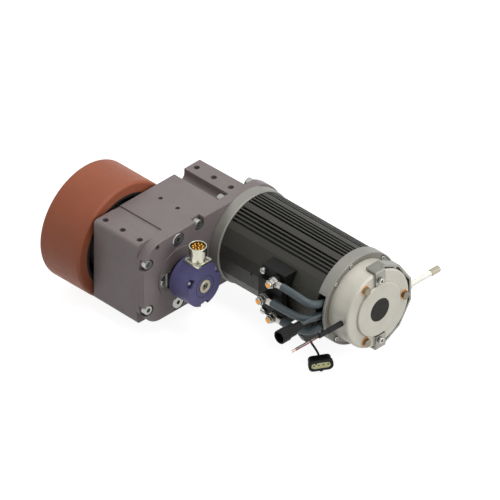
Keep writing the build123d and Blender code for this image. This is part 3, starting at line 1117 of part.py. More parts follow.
def release_handle():
    rod = rod_x(HANDLE_Y, AXIS_Z, LEVER_GRIP_X, HANDLE_END_X, HANDLE_RADIUS)
    stud = rod_x(HANDLE_Y, AXIS_Z, LEVER_GRIP_X - LEVER_THICKNESS - 0.8, LEVER_GRIP_X, HANDLE_RADIUS - 1)
    nut = Pos(LEVER_GRIP_X, HANDLE_Y, AXIS_Z) * Rot(0, 90, 0) * extrude(
        RegularPolygon(HANDLE_NUT_ACROSS / 2, 6, major_radius=False), amount=HANDLE_NUT_HEIGHT)
    return rod + stud + nut


def handle_tip():
    body = rod_x(HANDLE_Y, AXIS_Z, HANDLE_END_X, HANDLE_TIP_END_X, HANDLE_TIP_RADIUS)
    return chamfer(body.edges().filter_by(GeomType.CIRCLE), 0.8)


# Encoder: bracket on two feet, dark back flange, body with the connector pad, ring on the spindle
def encoder_bracket():
    foot = Pos(WHEEL_X, AXIS_Z) * Rectangle(2 * BRACKET_END_OFFSET, 2 * BRACKET_END_RADIUS)
    for side in (-1, 1):
        foot += Pos(WHEEL_X + side * BRACKET_END_OFFSET, AXIS_Z) * Circle(BRACKET_END_RADIUS)
    plate = Pos(WHEEL_X, AXIS_Z) * Rectangle(2 * BRACKET_HALF_WIDTH, BRACKET_HEIGHT)
    body = prism_y(foot, BRACKET_PLATE_Y1, BOSS_FACE_Y) + prism_y(plate, ENCODER_FLANGE_BACK_Y, BRACKET_PLATE_Y1)
    for x, z in ENCODER_FOOT_PLACES:
        body -= rod_y(x, z, BRACKET_PLATE_Y1, BOSS_FACE_Y, ENCODER_FOOT_RADIUS + 0.2)
    return body - rod_y(WHEEL_X, AXIS_Z, ENCODER_FLANGE_BACK_Y, BOSS_FACE_Y, ENCODER_BORE_RADIUS)


def encoder_back_flange():
    outline = Pos(WHEEL_X, AXIS_Z) * Rectangle(2 * BRACKET_HALF_WIDTH, BRACKET_HEIGHT)
    outline += Pos(WHEEL_X, AXIS_Z) * Circle(ENCODER_FLANGE_RADIUS)
    outline -= Pos(WHEEL_X, AXIS_Z) * Circle(ENCODER_BORE_RADIUS)
    return prism_y(outline, ENCODER_BACK_Y, ENCODER_FLANGE_BACK_Y)


def encoder_body():
    body = rod_y(WHEEL_X, AXIS_Z, ENCODER_FRONT_Y, ENCODER_BACK_Y, ENCODER_RADIUS)
    body = fillet(body.edges().filter_by(GeomType.CIRCLE).sort_by(Axis.Y)[0], ENCODER_EDGE_RADIUS)
    rise = PAD_TOP_Z - AXIS_Z
    low = 0.7 * ENCODER_RADIUS
    wide = sqrt(ENCODER_RADIUS**2 - low**2)
    pad = Polyline((-PAD_WIDTH / 2, rise), (PAD_WIDTH / 2, rise), (wide, low), (-wide, low), close=True)
    body += prism_y(Pos(WHEEL_X, AXIS_Z) * make_face(pad), ENCODER_FRONT_Y, PAD_BACK_Y)
    for x, z in encoder_rim_places():
        angle = degrees(atan2(z - AXIS_Z, x - WHEEL_X))
        notch = Pos(x, z) * Rot(0, 0, angle + 90) * SlotOverall(ENCODER_SLOT_WIDTH, ENCODER_SLOT_HEIGHT)
        body -= prism_y(notch, ENCODER_FRONT_Y, ENCODER_FRONT_Y + ENCODER_SLOT_DEPTH)
        body -= rod_y(x, z, ENCODER_FRONT_Y, ENCODER_BACK_Y, ENCODER_SCREW_RADIUS)
    groove = rod_y(WHEEL_X, AXIS_Z, ENCODER_FRONT_Y, ENCODER_FRONT_Y + 0.6, ENCODER_GROOVE_RADIUS + 0.5,
                   ENCODER_GROOVE_RADIUS - 0.5)
    for x, y in connector_screw_places():
        body -= rod_z(x, y, PAD_TOP_Z - CONNECTOR_HOLE_DEPTH, PAD_TOP_Z, CONNECTOR_SCREW_RADIUS)
    return body - groove - rod_y(WHEEL_X, AXIS_Z, ENCODER_FRONT_Y, ENCODER_BACK_Y, ENCODER_BORE_RADIUS)


def encoder_rim_places():
    return [(WHEEL_X + x, AXIS_Z + z) for x, z in ring_places(ENCODER_SLOT_RADIUS, ENCODER_SLOT_ANGLES)]


def connector_screw_places():
    offset = CONNECTOR_SCREW_OFFSET
    return [(WHEEL_X + sx * offset, CONNECTOR_Y + sy * offset) for sx in (-1, 1) for sy in (-1, 1)]


def encoder_screws():
    seat = ENCODER_FRONT_Y + ENCODER_SLOT_DEPTH
    screws = [
        cap_screw(x, z, seat, ENCODER_SCREW_LENGTH, 1, ENCODER_SCREW_RADIUS, ENCODER_SCREW_HEAD_RADIUS,
                  ENCODER_SCREW_HEAD, ENCODER_SCREW_ACROSS, ENCODER_SCREW_SOCKET)
        for x, z in encoder_rim_places()
    ]
    screws += [
        cap_screw(x, z, BRACKET_PLATE_Y1, ENCODER_FOOT_SCREW_LENGTH, 1, ENCODER_FOOT_RADIUS,
                  ENCODER_FOOT_HEAD_RADIUS, ENCODER_FOOT_HEAD, ENCODER_FOOT_ACROSS, ENCODER_FOOT_SOCKET)
        for x, z in ENCODER_FOOT_PLACES
    ]
    top = PAD_TOP_Z + CONNECTOR_FLANGE_THICKNESS
    for x, y in connector_screw_places():
        head = rod_z(x, y, top, top + CONNECTOR_SCREW_HEAD, CONNECTOR_SCREW_HEAD_RADIUS)
        screws.append(head + rod_z(x, y, top - CONNECTOR_SCREW_LENGTH, top, CONNECTOR_SCREW_RADIUS))
    return screws


def encoder_spindle():
    body = rod_y(WHEEL_X, AXIS_Z, SPINDLE_END_Y, SECOND_GEAR_Y0 - 2, SPINDLE_RADIUS)
    return body - rod_y(WHEEL_X, AXIS_Z, SPINDLE_END_Y, SPINDLE_END_Y + RING_SCREW_LENGTH + 1, RING_SCREW_RADIUS)


def encoder_ring():
    end = ENCODER_RING_END_Y + ENCODER_RING_LENGTH
    ring = rod_y(WHEEL_X, AXIS_Z, ENCODER_RING_END_Y, end, ENCODER_RING_RADIUS, RING_BORE_RADIUS)
    ring = chamfer(ring.edges().filter_by(GeomType.CIRCLE).sort_by(Axis.Y)[0:2], 0.5)
    ring -= rod_y(WHEEL_X, AXIS_Z, SPINDLE_END_Y, end, SPINDLE_RADIUS)
    screw = cap_screw(WHEEL_X, AXIS_Z, SPINDLE_END_Y, RING_SCREW_LENGTH, 1, RING_SCREW_RADIUS,
                      RING_SCREW_HEAD_RADIUS, RING_SCREW_HEAD, RING_SCREW_ACROSS, RING_SCREW_SOCKET)
    return [ring, screw]


def encoder_connector_shell():
    z0 = PAD_TOP_Z
    flange_top = z0 + CONNECTOR_FLANGE_THICKNESS
    half = CONNECTOR_FLANGE / 2
    flange = block(WHEEL_X - half, WHEEL_X + half, CONNECTOR_Y - half, CONNECTOR_Y + half, z0, flange_top)
    flange = fillet(flange.edges().filter_by(Axis.Z), 1.5)
    rim_z = CONNECTOR_TOP_Z - CONNECTOR_RIM_HEIGHT
    body = flange + rod_z(WHEEL_X, CONNECTOR_Y, flange_top, rim_z, CONNECTOR_BARREL_RADIUS)
    body += rod_z(WHEEL_X, CONNECTOR_Y, rim_z, CONNECTOR_TOP_Z, CONNECTOR_RIM_RADIUS)
    body -= rod_z(WHEEL_X, CONNECTOR_Y, z0, CONNECTOR_TOP_Z, CONNECTOR_SOCKET_RADIUS)
    key = CONNECTOR_RIM_RADIUS
    body -= block(WHEEL_X + key - 2, WHEEL_X + key + 1, CONNECTOR_Y - 1.6, CONNECTOR_Y + 1.6, rim_z, CONNECTOR_TOP_Z)
    for x, y in connector_screw_places():
        body -= rod_z(x, y, z0, flange_top, CONNECTOR_SCREW_RADIUS + 0.2)
    return body


def encoder_connector_insert():
    body = rod_z(WHEEL_X, CONNECTOR_Y, PAD_TOP_Z, CONNECTOR_TOP_Z - CONNECTOR_SOCKET_DEPTH,
                 CONNECTOR_SOCKET_RADIUS - BEARING_FIT)
    for x, y in connector_pin_places():
        body -= rod_z(x, y, PAD_TOP_Z, CONNECTOR_TOP_Z, CONNECTOR_PIN_RADIUS)
    return body


def connector_pin_places():
    places = []
    for radius, count in zip(CONNECTOR_PIN_CIRCLES, CONNECTOR_PIN_COUNTS):
        angles = [360 * n / count for n in range(count)]
        places += [(WHEEL_X + x, CONNECTOR_Y + y) for x, y in ring_places(radius, angles)]
    return places


def encoder_connector_pins():
    return [
        rod_z(x, y, PAD_TOP_Z + 2, CONNECTOR_TOP_Z - 4, CONNECTOR_PIN_RADIUS) for x, y in connector_pin_places()
    ]


# Terminal block with its studs, lugs and fasteners
def terminal_block():
    outer = TERMINAL_HALF_HEIGHT
    middle = TERMINAL_MIDDLE_HALF_HEIGHT
    back = MOTOR_X - MOTOR_BORE_RADIUS
    outline = make_face(Polyline(
        (back, outer), (TERMINAL_FACE_X, outer), (TERMINAL_FACE_X, middle), (TERMINAL_MIDDLE_FACE_X, middle),
        (TERMINAL_MIDDLE_FACE_X, -middle), (TERMINAL_FACE_X, -middle), (TERMINAL_FACE_X, -outer), (back, -outer),
        close=True,
    ))
    outline -= Pos(MOTOR_X, 0) * Circle(MOTOR_RADIUS)
    body = prism_y(Pos(0, AXIS_Z) * outline, TERMINAL_Y0, TERMINAL_Y1)
    body -= block(TERMINAL_GAP_X, back, TERMINAL_Y0, TERMINAL_Y0 + TERMINAL_GAP_LENGTH, AXIS_Z - middle + 4,
                  AXIS_Z + middle - 4)
    for x, z in TERMINAL_SCREW_PLACES:
        body -= rod_x(TERMINAL_SCREW_Y, z, TERMINAL_FACE_X, x + 3, TERMINAL_SCREW_RADIUS + 0.2)
    for face_x, y, z, tip_x in STUDS:
        body -= rod_x(y, z, face_x, face_x + 6, STUD_RADIUS)
        body -= rod_x(y, z, tip_x, face_x, INSULATOR_RADIUS + SEAT)
    return body


def terminal_hardware():
    pieces = []
    for x, z in TERMINAL_SCREW_PLACES:
        head = rod_x(TERMINAL_SCREW_Y, z, TERMINAL_FACE_X - TERMINAL_SCREW_HEAD, TERMINAL_FACE_X,
                     TERMINAL_SCREW_HEAD_RADIUS)
        slot = block(TERMINAL_FACE_X - TERMINAL_SCREW_HEAD, TERMINAL_FACE_X - TERMINAL_SCREW_HEAD + 1.4,
                     TERMINAL_SCREW_Y - 5, TERMINAL_SCREW_Y + 5, z - 0.6, z + 0.6)
        shank = rod_x(TERMINAL_SCREW_Y, z, TERMINAL_FACE_X, TERMINAL_SCREW_END_X, TERMINAL_SCREW_RADIUS)
        pieces.append(head - slot + shank)
    for face_x, y, z, tip_x in STUDS:
        washer_x = face_x - INSULATOR_THICKNESS
        lug_x = washer_x - TERMINAL_WASHER_THICKNESS
        nut_x = lug_x - LUG_THICKNESS
        washer = rod_x(y, z, lug_x, washer_x, TERMINAL_WASHER_RADIUS, STUD_RADIUS)
        nut = Pos(nut_x - TERMINAL_NUT_HEIGHT, y, z) * Rot(0, 90, 0) * extrude(
            RegularPolygon(TERMINAL_NUT_ACROSS / 2, 6, major_radius=False) - Circle(STUD_RADIUS),
            amount=TERMINAL_NUT_HEIGHT)
        pieces += [washer, nut]
    return pieces


def terminal_insulators():
    return [rod_x(y, z, face_x - INSULATOR_THICKNESS, face_x, INSULATOR_RADIUS, STUD_RADIUS)
            for face_x, y, z, tip_x in STUDS]


def terminal_bolts():
    bolts = []
    for face_x, y, z, tip_x in STUDS:
        head_x = face_x - INSULATOR_THICKNESS - TERMINAL_WASHER_THICKNESS - LUG_THICKNESS - TERMINAL_NUT_HEIGHT
        head = rod_x(y, z, tip_x, head_x, STUD_HEAD_RADIUS)
        head = chamfer(head.edges().filter_by(GeomType.CIRCLE).sort_by(Axis.X)[0], 0.6)
        bolts.append(head + rod_x(y, z, head_x, face_x + 6, STUD_RADIUS))
    return bolts


def cable_lugs():
    lugs = []
    for (face_x, y, z, tip_x), route in zip(STUDS, POWER_CABLE_ROUTES):
        x1 = face_x - INSULATOR_THICKNESS - TERMINAL_WASHER_THICKNESS
        x0 = x1 - LUG_THICKNESS
        end_x, end_y, end_z = route[0]
        end_y += LUG_END_GAP
        barrel = rod_y(end_x, end_z, end_y, end_y + LUG_BARREL_LENGTH, LUG_BARREL_RADIUS)
        eye = rod_x(y, z, x0, x1, LUG_EYE_RADIUS)
        tongue = block(x0, x1, end_y + LUG_BARREL_LENGTH - 2, y, min(z, end_z) - 4, max(z, end_z) + 4)
        lugs.append(barrel + eye + tongue - rod_x(y, z, x0, x1, STUD_RADIUS))
    return lugs


# Round cord along straight runs joined by arcs as large as the runs allow
def cord(name, route, radius):
    points = [Vector(*p) for p in route]
    runs = [b - a for a, b in zip(points, points[1:])]
    radii = []
    for first, second in zip(runs, runs[1:]):
        turn = radians(first.get_angle(second))
        radii.append(0.45 * min(first.length, second.length) / tan(turn / 2))
    path = FilletPolyline(*points, radius=radii)
    tube = sweep(Plane(origin=points[0], z_dir=runs[0]) * Circle(radius), path=path)
    share = tube.volume / (pi * radius**2 * path.length)
    print(name, "length", round(path.length, 1), "volume share", round(share, 4), "radii",
          [round(r, 1) for r in radii])
    return tube


def power_cables():
    return [cord(f"power cable {n + 1}", route, POWER_CABLE_RADIUS) for n, route in enumerate(POWER_CABLE_ROUTES)]


def brake_lead_boot():
    return rod_x(LEAD_HOLE_Y, AXIS_Z, SLEEVE_END_X, MOTOR_X - BRAKE_RADIUS + BRAKE_WALL - 0.2, SLEEVE_RADIUS,
                 BRAKE_LEAD_RADIUS + CABLE_FIT)


def brake_core(name, route):
    end = Vector(*route[-1])
    way = (end - Vector(*route[-2])).normalized()
    bare = extrude(Plane(origin=end, z_dir=way) * Circle(BARE_RADIUS), amount=BARE_LENGTH)
    return [cord(name, route, CORE_RADIUS), bare]


# Bore that a cord leaves through, along its first run
def cord_bore(first, second, radius):
    start = Vector(*first)
    way = (Vector(*second) - start).normalized()
    return extrude(Plane(origin=start - 0.5 * way, z_dir=way) * Circle(radius + CABLE_FIT), amount=20)


def round_connector():
    body = rod_x(PLUG_Y, PLUG_Z, PLUG_LEFT_X, PLUG_RIM_END_X, PLUG_RIM_RADIUS)
    body = fillet(body.edges().filter_by(GeomType.CIRCLE), 0.6)
    body += rod_x(PLUG_Y, PLUG_Z, PLUG_RIM_END_X, PLUG_GRIP_END_X, PLUG_GRIP_RADIUS)
    neck = rod_x(PLUG_Y, PLUG_Z, PLUG_GRIP_END_X, PLUG_RIGHT_X, PLUG_NECK_RADIUS)
    body += chamfer(neck.edges().filter_by(GeomType.CIRCLE).sort_by(Axis.X)[-1], PLUG_NECK_EDGE)
    body -= rod_x(PLUG_Y, PLUG_Z, PLUG_LEFT_X, PLUG_LEFT_X + PLUG_SOCKET_DEPTH, PLUG_SOCKET_RADIUS)
    return body - cord_bore(PLUG_LEAD_ROUTE[0], PLUG_LEAD_ROUTE[1], PLUG_LEAD_RADIUS)


# Sensor lead: outlet under the motor and the four-way connector
def sensor_outlet():
    outline = make_face(Polyline(
        (OUTLET_TOP_X, OUTLET_TOP_Z), (OUTLET_LEFT_X, OUTLET_SHOULDER_Z), (OUTLET_BOTTOM_X, OUTLET_BOTTOM_Z),
        (MOTOR_X, OUTLET_BOTTOM_Z), (MOTOR_X, OUTLET_TOP_Z), close=True,
    ))
    outline -= Pos(MOTOR_X, AXIS_Z) * Circle(MOTOR_RADIUS)
    body = prism_y(outline, OUTLET_Y0, OUTLET_Y1)
    return body - cord_bore(SENSOR_CABLE_ROUTE[0], SENSOR_CABLE_ROUTE[1], SENSOR_CABLE_RADIUS)


def sensor_plane():
    yaw = radians(SENSOR_YAW)
    facing = Plane(origin=SENSOR_MIDDLE, x_dir=(sin(yaw), -cos(yaw), 0), z_dir=(-cos(yaw), -sin(yaw), 0))
    return facing * Rot(0, 0, SENSOR_ROLL)


def sensor_connector():
    front = SENSOR_DEPTH / 2
    step = front - SENSOR_BEZEL_LENGTH
    bezel = RectangleRounded(SENSOR_BEZEL_WIDTH, SENSOR_BEZEL_HEIGHT, SENSOR_BEZEL_CORNER)
    rear = RectangleRounded(SENSOR_REAR_WIDTH, SENSOR_REAR_HEIGHT, SENSOR_REAR_CORNER)
    shell = extrude(Pos(0, 0, step) * bezel, amount=SENSOR_BEZEL_LENGTH)
    shell = fillet(shell.edges().group_by(Axis.Z)[-1], 0.8)
    shell += extrude(Pos(0, 0, -front) * rear, amount=SENSOR_DEPTH - SENSOR_BEZEL_LENGTH)
    shell += Pos(0, -SENSOR_BEZEL_HEIGHT / 2, front - 0.8 - SENSOR_TAB_LENGTH / 2) * Box(
        SENSOR_TAB_WIDTH, 2 * SENSOR_TAB_RISE, SENSOR_TAB_LENGTH)
    for x in SENSOR_POCKET_PLACES:
        shell -= Pos(x, SENSOR_REAR_HEIGHT / 2, step - SENSOR_POCKET_LENGTH / 2) * Box(
            SENSOR_POCKET_WIDTH, 2 * SENSOR_POCKET_DEPTH, SENSOR_POCKET_LENGTH)
    depth = INSERT_SINK + INSERT_DEPTH
    seat = SlotOverall(INSERT_WIDTH + 2 * INSERT_FIT, INSERT_HEIGHT + 2 * INSERT_FIT)
    shell -= extrude(Pos(0, 0, front - depth) * seat, amount=depth)
    shell = sensor_plane() * shell
    return shell - cord_bore(SENSOR_CABLE_ROUTE[-1], SENSOR_CABLE_ROUTE[-2], SENSOR_CABLE_RADIUS)


def sensor_connector_insert():
    face = SENSOR_DEPTH / 2 - INSERT_SINK
    outline = SlotOverall(INSERT_WIDTH, INSERT_HEIGHT)
    outline -= Pos(INSERT_NOTCH_X, INSERT_HEIGHT / 2) * Rectangle(INSERT_NOTCH_WIDTH, 2 * INSERT_NOTCH_DEPTH)
    body = extrude(Pos(0, 0, face - INSERT_DEPTH) * outline, amount=INSERT_DEPTH)
    for n in range(CONTACT_COUNT):
        x = (n - (CONTACT_COUNT - 1) / 2) * CONTACT_PITCH
        body -= extrude(Pos(x, CONTACT_RISE, face - CONTACT_DEPTH) * Circle(CONTACT_RADIUS), amount=CONTACT_DEPTH)
    return sensor_plane() * body


PIECES = {
    "gearbox_housing": lambda: [gearbox_housing()],
    "gearbox_cover": lambda: [gearbox_cover()],
    "gearbox_screws": lambda: cover_screws() + motor_flange_screws(),
    "oil_plugs": oil_plugs,
    "output_bearings": output_bearings,
    "small_bearings": lambda: middle_bearings() + [spindle_bearing()] + motor_bearings(),
    "shaft_seals": lambda: [output_seal(), motor_seal()],
    "output_shaft": lambda: [output_shaft()],
    "output_gear": lambda: [output_gear()],
    "wheel_hub": lambda: [wheel_hub()],
    "wheel_tread": lambda: [wheel_tread()],
    "wheel_bolts": wheel_bolts,
    "intermediate_shaft": lambda: [intermediate_shaft()],
    "intermediate_gear": lambda: [intermediate_gear()],
    "motor_front_shield": lambda: [motor_front_shield()],
    "motor_housing": lambda: [motor_housing()],
    "stator_core": lambda: [stator_core()],
    "stator_windings": stator_windings,
    "motor_rear_shield": lambda: [motor_rear_shield()],
    "rear_shield_screws": rear_shield_screws,
    "motor_shaft": lambda: [motor_shaft()],
    "motor_rotor": lambda: [motor_rotor()],
    "brake_disc": lambda: [brake_disc()],
    "brake_cover": lambda: [brake_cover()],
    "brake_plug": lambda: [brake_plug()],
    "brake_magnet": lambda: [brake_magnet()],
    "brake_coil": lambda: [brake_coil()],
    "brake_springs": brake_springs,
    "brake_armature": lambda: [brake_armature()],
    "brake_screws": brake_screws,
    "brake_washers": brake_washers,
    "release_screws": release_screws,
    "release_lever": lambda: [release_lever()],
    "release_handle": lambda: [release_handle()],
    "handle_tip": lambda: [handle_tip()],
    "encoder_bracket": lambda: [encoder_bracket()],
    "encoder_back_flange": lambda: [encoder_back_flange()],
    "encoder_body": lambda: [encoder_body()],
    "encoder_screws": encoder_screws,
    "encoder_spindle": lambda: [encoder_spindle()],
    "encoder_ring": encoder_ring,
    "encoder_connector_shell": lambda: [encoder_connector_shell()],
    "encoder_connector_insert": lambda: [encoder_connector_insert()],
    "encoder_connector_pins": encoder_connector_pins,
    "terminal_block": lambda: [terminal_block()],
    "terminal_insulators": terminal_insulators,
    "terminal_hardware": terminal_hardware,
    "terminal_bolts": terminal_bolts,
    "cable_lugs": cable_lugs,
    "power_cables": power_cables,
    "brake_lead_boot": lambda: [brake_lead_boot()],
    "brake_lead": lambda: [cord("brake lead", BRAKE_LEAD_ROUTE, BRAKE_LEAD_RADIUS)],
    "brake_core_red": lambda: brake_core("red core", RED_CORE_ROUTE),
    "brake_core_black": lambda: brake_core("black core", BLACK_CORE_ROUTE),
    "round_connector": lambda: [round_connector()],
    "round_connector_lead": lambda: [cord("connector lead", PLUG_LEAD_ROUTE, PLUG_LEAD_RADIUS)],
    "sensor_outlet": lambda: [sensor_outlet()],
    "sensor_cable": lambda: [cord("sensor cable", SENSOR_CABLE_ROUTE, SENSOR_CABLE_RADIUS)],
    "sensor_connector": lambda: [sensor_connector()],
    "sensor_connector_insert": lambda: [sensor_connector_insert()],
}

os.makedirs("parts", exist_ok=True)
for node, build in PIECES.items():
    save(node, *build())
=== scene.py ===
import math

import bmesh
import bpy
from mathutils import Matrix, Vector


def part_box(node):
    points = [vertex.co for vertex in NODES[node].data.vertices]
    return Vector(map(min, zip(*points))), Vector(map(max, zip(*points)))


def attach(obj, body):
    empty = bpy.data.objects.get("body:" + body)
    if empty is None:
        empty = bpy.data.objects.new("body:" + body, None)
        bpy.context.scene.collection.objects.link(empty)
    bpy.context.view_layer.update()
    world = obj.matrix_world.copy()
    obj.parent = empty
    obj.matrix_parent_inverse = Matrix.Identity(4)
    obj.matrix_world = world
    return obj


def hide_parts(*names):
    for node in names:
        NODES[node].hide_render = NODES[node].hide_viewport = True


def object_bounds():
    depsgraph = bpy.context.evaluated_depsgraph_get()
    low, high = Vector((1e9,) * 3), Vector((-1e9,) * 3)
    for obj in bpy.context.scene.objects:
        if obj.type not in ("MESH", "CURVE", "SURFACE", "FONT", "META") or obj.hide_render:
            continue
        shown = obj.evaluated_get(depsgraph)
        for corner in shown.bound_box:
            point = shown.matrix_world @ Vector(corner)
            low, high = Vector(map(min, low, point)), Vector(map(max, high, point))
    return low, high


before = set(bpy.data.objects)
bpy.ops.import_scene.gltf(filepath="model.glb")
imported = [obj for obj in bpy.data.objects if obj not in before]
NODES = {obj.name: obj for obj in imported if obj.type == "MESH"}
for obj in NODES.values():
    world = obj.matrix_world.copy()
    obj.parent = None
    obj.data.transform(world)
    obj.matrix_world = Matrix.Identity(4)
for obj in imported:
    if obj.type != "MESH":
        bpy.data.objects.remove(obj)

bl_info = {
    "name": "Drive wheel unit",
    "version": (1, 0, 0),
    "blender": (4, 5, 0),
    "location": "3D View > Sidebar > Drive unit",
    "description": "Finishes and fine pieces of a drive wheel unit with gearbox, motor, brake and encoder",
    "category": "Object",
}

CAD_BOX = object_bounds()
MM = 0.001

# Axes of the unit, in metres
AXIS_Z = -0.060
WHEEL_X = -0.03375
MOTOR_X = 0.08425

# Sky: its brightness, and how much that grows towards +X, +Y and +Z
SKY_STRENGTH = 0.52
SKY_SLOPE = (0.14, 0.16, 0)

# Floor: half its side and its gap below the part in metres, its tone in the light, its glow where it is seen
FLOOR_HALF = 6
FLOOR_GAP = 0.001
FLOOR_TONE = (0.4, 0.4, 0.4)
FLOOR_ROUGHNESS = 0.9
FLOOR_GLOW = 0.88

# Soft lamps: name, place and size in metres, power in watts; all point at one spot of the part
LAMPS = (
    ("key", (0.1, -0.4, 1.3), 0.9, 10),
    ("front", (0.5, -1.4, 0.5), 0.8, 6),
)
LAMP_AIM = (0.05, -0.1, -0.06)

# Isometric camera, in metres: the spot it looks at, the way it stands off, its distance, view width and reach
CAMERA_AIM = (0.0612, -0.0825, -0.060)
CAMERA_WAY = (-1, -1, 1)
CAMERA_DISTANCE = 1.5
CAMERA_WIDTH = 0.6207
CAMERA_REACH = 10

# Cord routes in millimetres, point by point as the leads lie
POWER_CABLE_ROUTES = (
    (
        (7.3, -193, -34), (7.1, -212, -34.2), (7, -232, -36),
        (13, -240.5, -40.5), (26.5, -243, -44.5), (40, -243.5, -46),
    ),
    (
        (0, -182.5, -60), (0.3, -205, -60.2), (1.2, -229, -60),
        (8.9, -239.5, -60.8), (24.5, -241.5, -62.3), (38, -243, -62.6),
    ),
    (
        (7, -193, -87), (7, -211, -87.2), (8, -230, -83),
        (12, -240.5, -80.5), (26.5, -243, -76.3), (40, -243.5, -76),
    ),
)
BRAKE_LEAD_ROUTE = ((33.6, -274.3, -60), (19, -274.3, -59.9), (4.6, -274.2, -59.8), (-9.8, -274.4, -59.6))
RED_CORE_ROUTE = (
    (-10.1, -274.4, -60.6), (-24, -274.7, -60.9), (-37.5, -274.6, -60.7), (-50, -274.4, -60.8),
)
BLACK_CORE_ROUTE = (
    (-10.1, -274.4, -58.7), (-24, -274.0, -58.3), (-37.5, -274.2, -58.3), (-50.8, -274.3, -58.0),
)
PLUG_LEAD_ROUTE = (
    (-8.5, -239.5, -61.8), (0.2, -242.6, -58.6), (9.3, -246.3, -55.9),
    (16.4, -246.8, -56.2), (23, -246.6, -56.6), (29.6, -246.4, -56.2),
)
SENSOR_CABLE_ROUTE = (
    (24.7, -221.9, -102.6), (25.2, -224.6, -110.5), (25.4, -233, -116.5),
    (24.6, -239.5, -121.5), (22.7, -242.4, -125.5), (19.7, -246.6, -126),
)

# Steps that round a cord's section and that follow each stretch of its route
CORD_ROUND_STEPS = 8
CORD_LENGTH_STEPS = 16

# Bared end of a core, in millimetres: its strands start on a small circle in the core and end on a wider one
STRANDS = 7
STRAND_RADIUS = 0.16
STRAND_START_CIRCLE = 0.34
STRAND_END_CIRCLE = 0.5
# Length of the longest strand, step by which the others fall short of it, and how far all reach into the core
STRAND_LENGTH = 6.5
STRAND_UNEVEN = 0.25
STRAND_OVERLAP = 0.2

# Turned pieces: vertices closer than this are one, and a corner over this many degrees stays sharp
MERGE_GAP = 0.001 * MM
SHARP_CORNER = 30

# Terminal studs in millimetres: front face of the block, Y and Z of the stud, tip of its head
TERMINAL_STUDS = ((14.0, -178.5, -33.5, -4.2), (7.7, -168.1, -60.0, -11.3), (14.0, -178.5, -86.7, -4.2))
# How far the root of a head stands off the block, how deep its shank sits in it, and the shank's radius
STUD_HEAD_ROOT = 14.6
STUD_DEPTH = 6.0
STUD_SHANK_RADIUS = 4.0
# Tips of the brass core and of the steel collar round it, as (radius, depth) points
STUD_CORE_TIP = ((0, 0), (2.9, 0), (3.3, 0.35))
STUD_COLLAR_TIP = ((3.35, 0.9), (3.6, 0.45), (4.3, 0.45), (4.75, 0.9))

# Encoder connector in millimetres: its axis, and (radius, height) points of its barrel over the flange's foot
CONNECTOR_AXIS = (-33.75, -86.0)
BARREL_PROFILE = (
    (11.3, 2.5), (11.3, 16.8), (11.5, 17.2), (11.5, 23.3), (11.2, 23.7),
    (10.2, 23.7), (9.9, 23.3), (9.9, 10.9), (8.65, 10.7), (8.65, 2.5),
)
FLANGE_HALF = 12.5
FLANGE_CORNER = 1.5
FLANGE_HEIGHT = 3.0
FLANGE_CHAMFER = 0.3

# Its pins in millimetres: radius of each ring of pins with their number, and (radius, height) points of a pin
PIN_RINGS = ((6.4, 9), (2.8, 3))
PIN_PROFILE = ((0, 9.5), (1.1, 9.5), (1.1, 22.5), (0.7, 22.9), (0, 23.0))

# Screw inside the encoder's centre ring, in millimetres
RING_SCREW_RADIUS = 4.75

# Small plug on the side of the motor, in millimetres: its place on the skin, its lean in degrees, its profile
SIDE_PLUG = (22.95, -123.0, -57.5)
SIDE_PLUG_TILT = -7.5
SIDE_PLUG_PROFILE = ((0, 0.5), (1.9, 0.5), (1.9, -0.12), (1.5, -0.2), (1.2, -0.05), (0, -0.05))


def rgb(red, green, blue):
    """Linear colour of an sRGB triple from 0 to 255."""
    def linear(value):
        share = value / 255
        return share / 12.92 if share <= 0.04045 else ((share + 0.055) / 1.055) ** 2.4
    return (linear(red), linear(green), linear(blue))


def colour_property(name, description, red, green, blue):
    return bpy.props.FloatVectorProperty(
        name=name, description=description, subtype="COLOR", size=3, min=0, max=1,
        default=rgb(red, green, blue))


def size_property(name, description, size):
    return bpy.props.FloatProperty(name=name, description=description, default=size * MM, unit="LENGTH")


class DriveColours(bpy.types.PropertyGroup):
    """Colours of the painted, moulded and sheathed pieces"""
    gearbox: colour_property("Gearbox", "Mauve-grey paint on the housing and cover", 127, 117, 117)
    tread: colour_property("Tread", "Polyurethane of the drive wheel", 153, 86, 60)
    hub: colour_property("Hub", "Black paint of the wheel hub", 26, 25, 24)
    motor: colour_property("Motor", "Dark anodised motor extrusion", 63, 62, 57)
    shield: colour_property("Shields", "Cast aluminium of the motor shields", 144, 142, 135)
    brake: colour_property("Brake", "Machined aluminium of the brake cover", 204, 200, 187)
    encoder: colour_property("Encoder", "Blue-violet encoder body", 87, 84, 126)
    cable: colour_property("Power cables", "Slate-grey cable jackets", 72, 82, 86)
    moulding: colour_property("Mouldings", "Black plastic of block and plugs", 14, 14, 13)
    handle: colour_property("Handle", "Ivory release handle", 240, 240, 230)
    insert: colour_property("Connector insert", "Pale insert of the flat connector", 205, 203, 152)


class DriveSizes(bpy.types.PropertyGroup):
    """Sizes of the cords and of the finest detail"""
    power_cable: size_property("Power cable", "Diameter of a power cable", 10)
    brake_lead: size_property("Brake lead", "Diameter of the brake lead's sheath", 6.5)
    core: size_property("Core", "Diameter of a brake lead core", 1.7)
    plug_lead: size_property("Plug lead", "Diameter of the round plug's lead", 4.5)
    sensor_cable: size_property("Sensor cable", "Diameter of the sensor cable", 2.8)
    edge: size_property("Edge rounding", "Radius that worn edges catch the light with", 0.5)


# Finishes

# Rays that a hollow or an edge is looked for with
HOLLOW_SAMPLES = 8
BEVEL_SAMPLES = 4

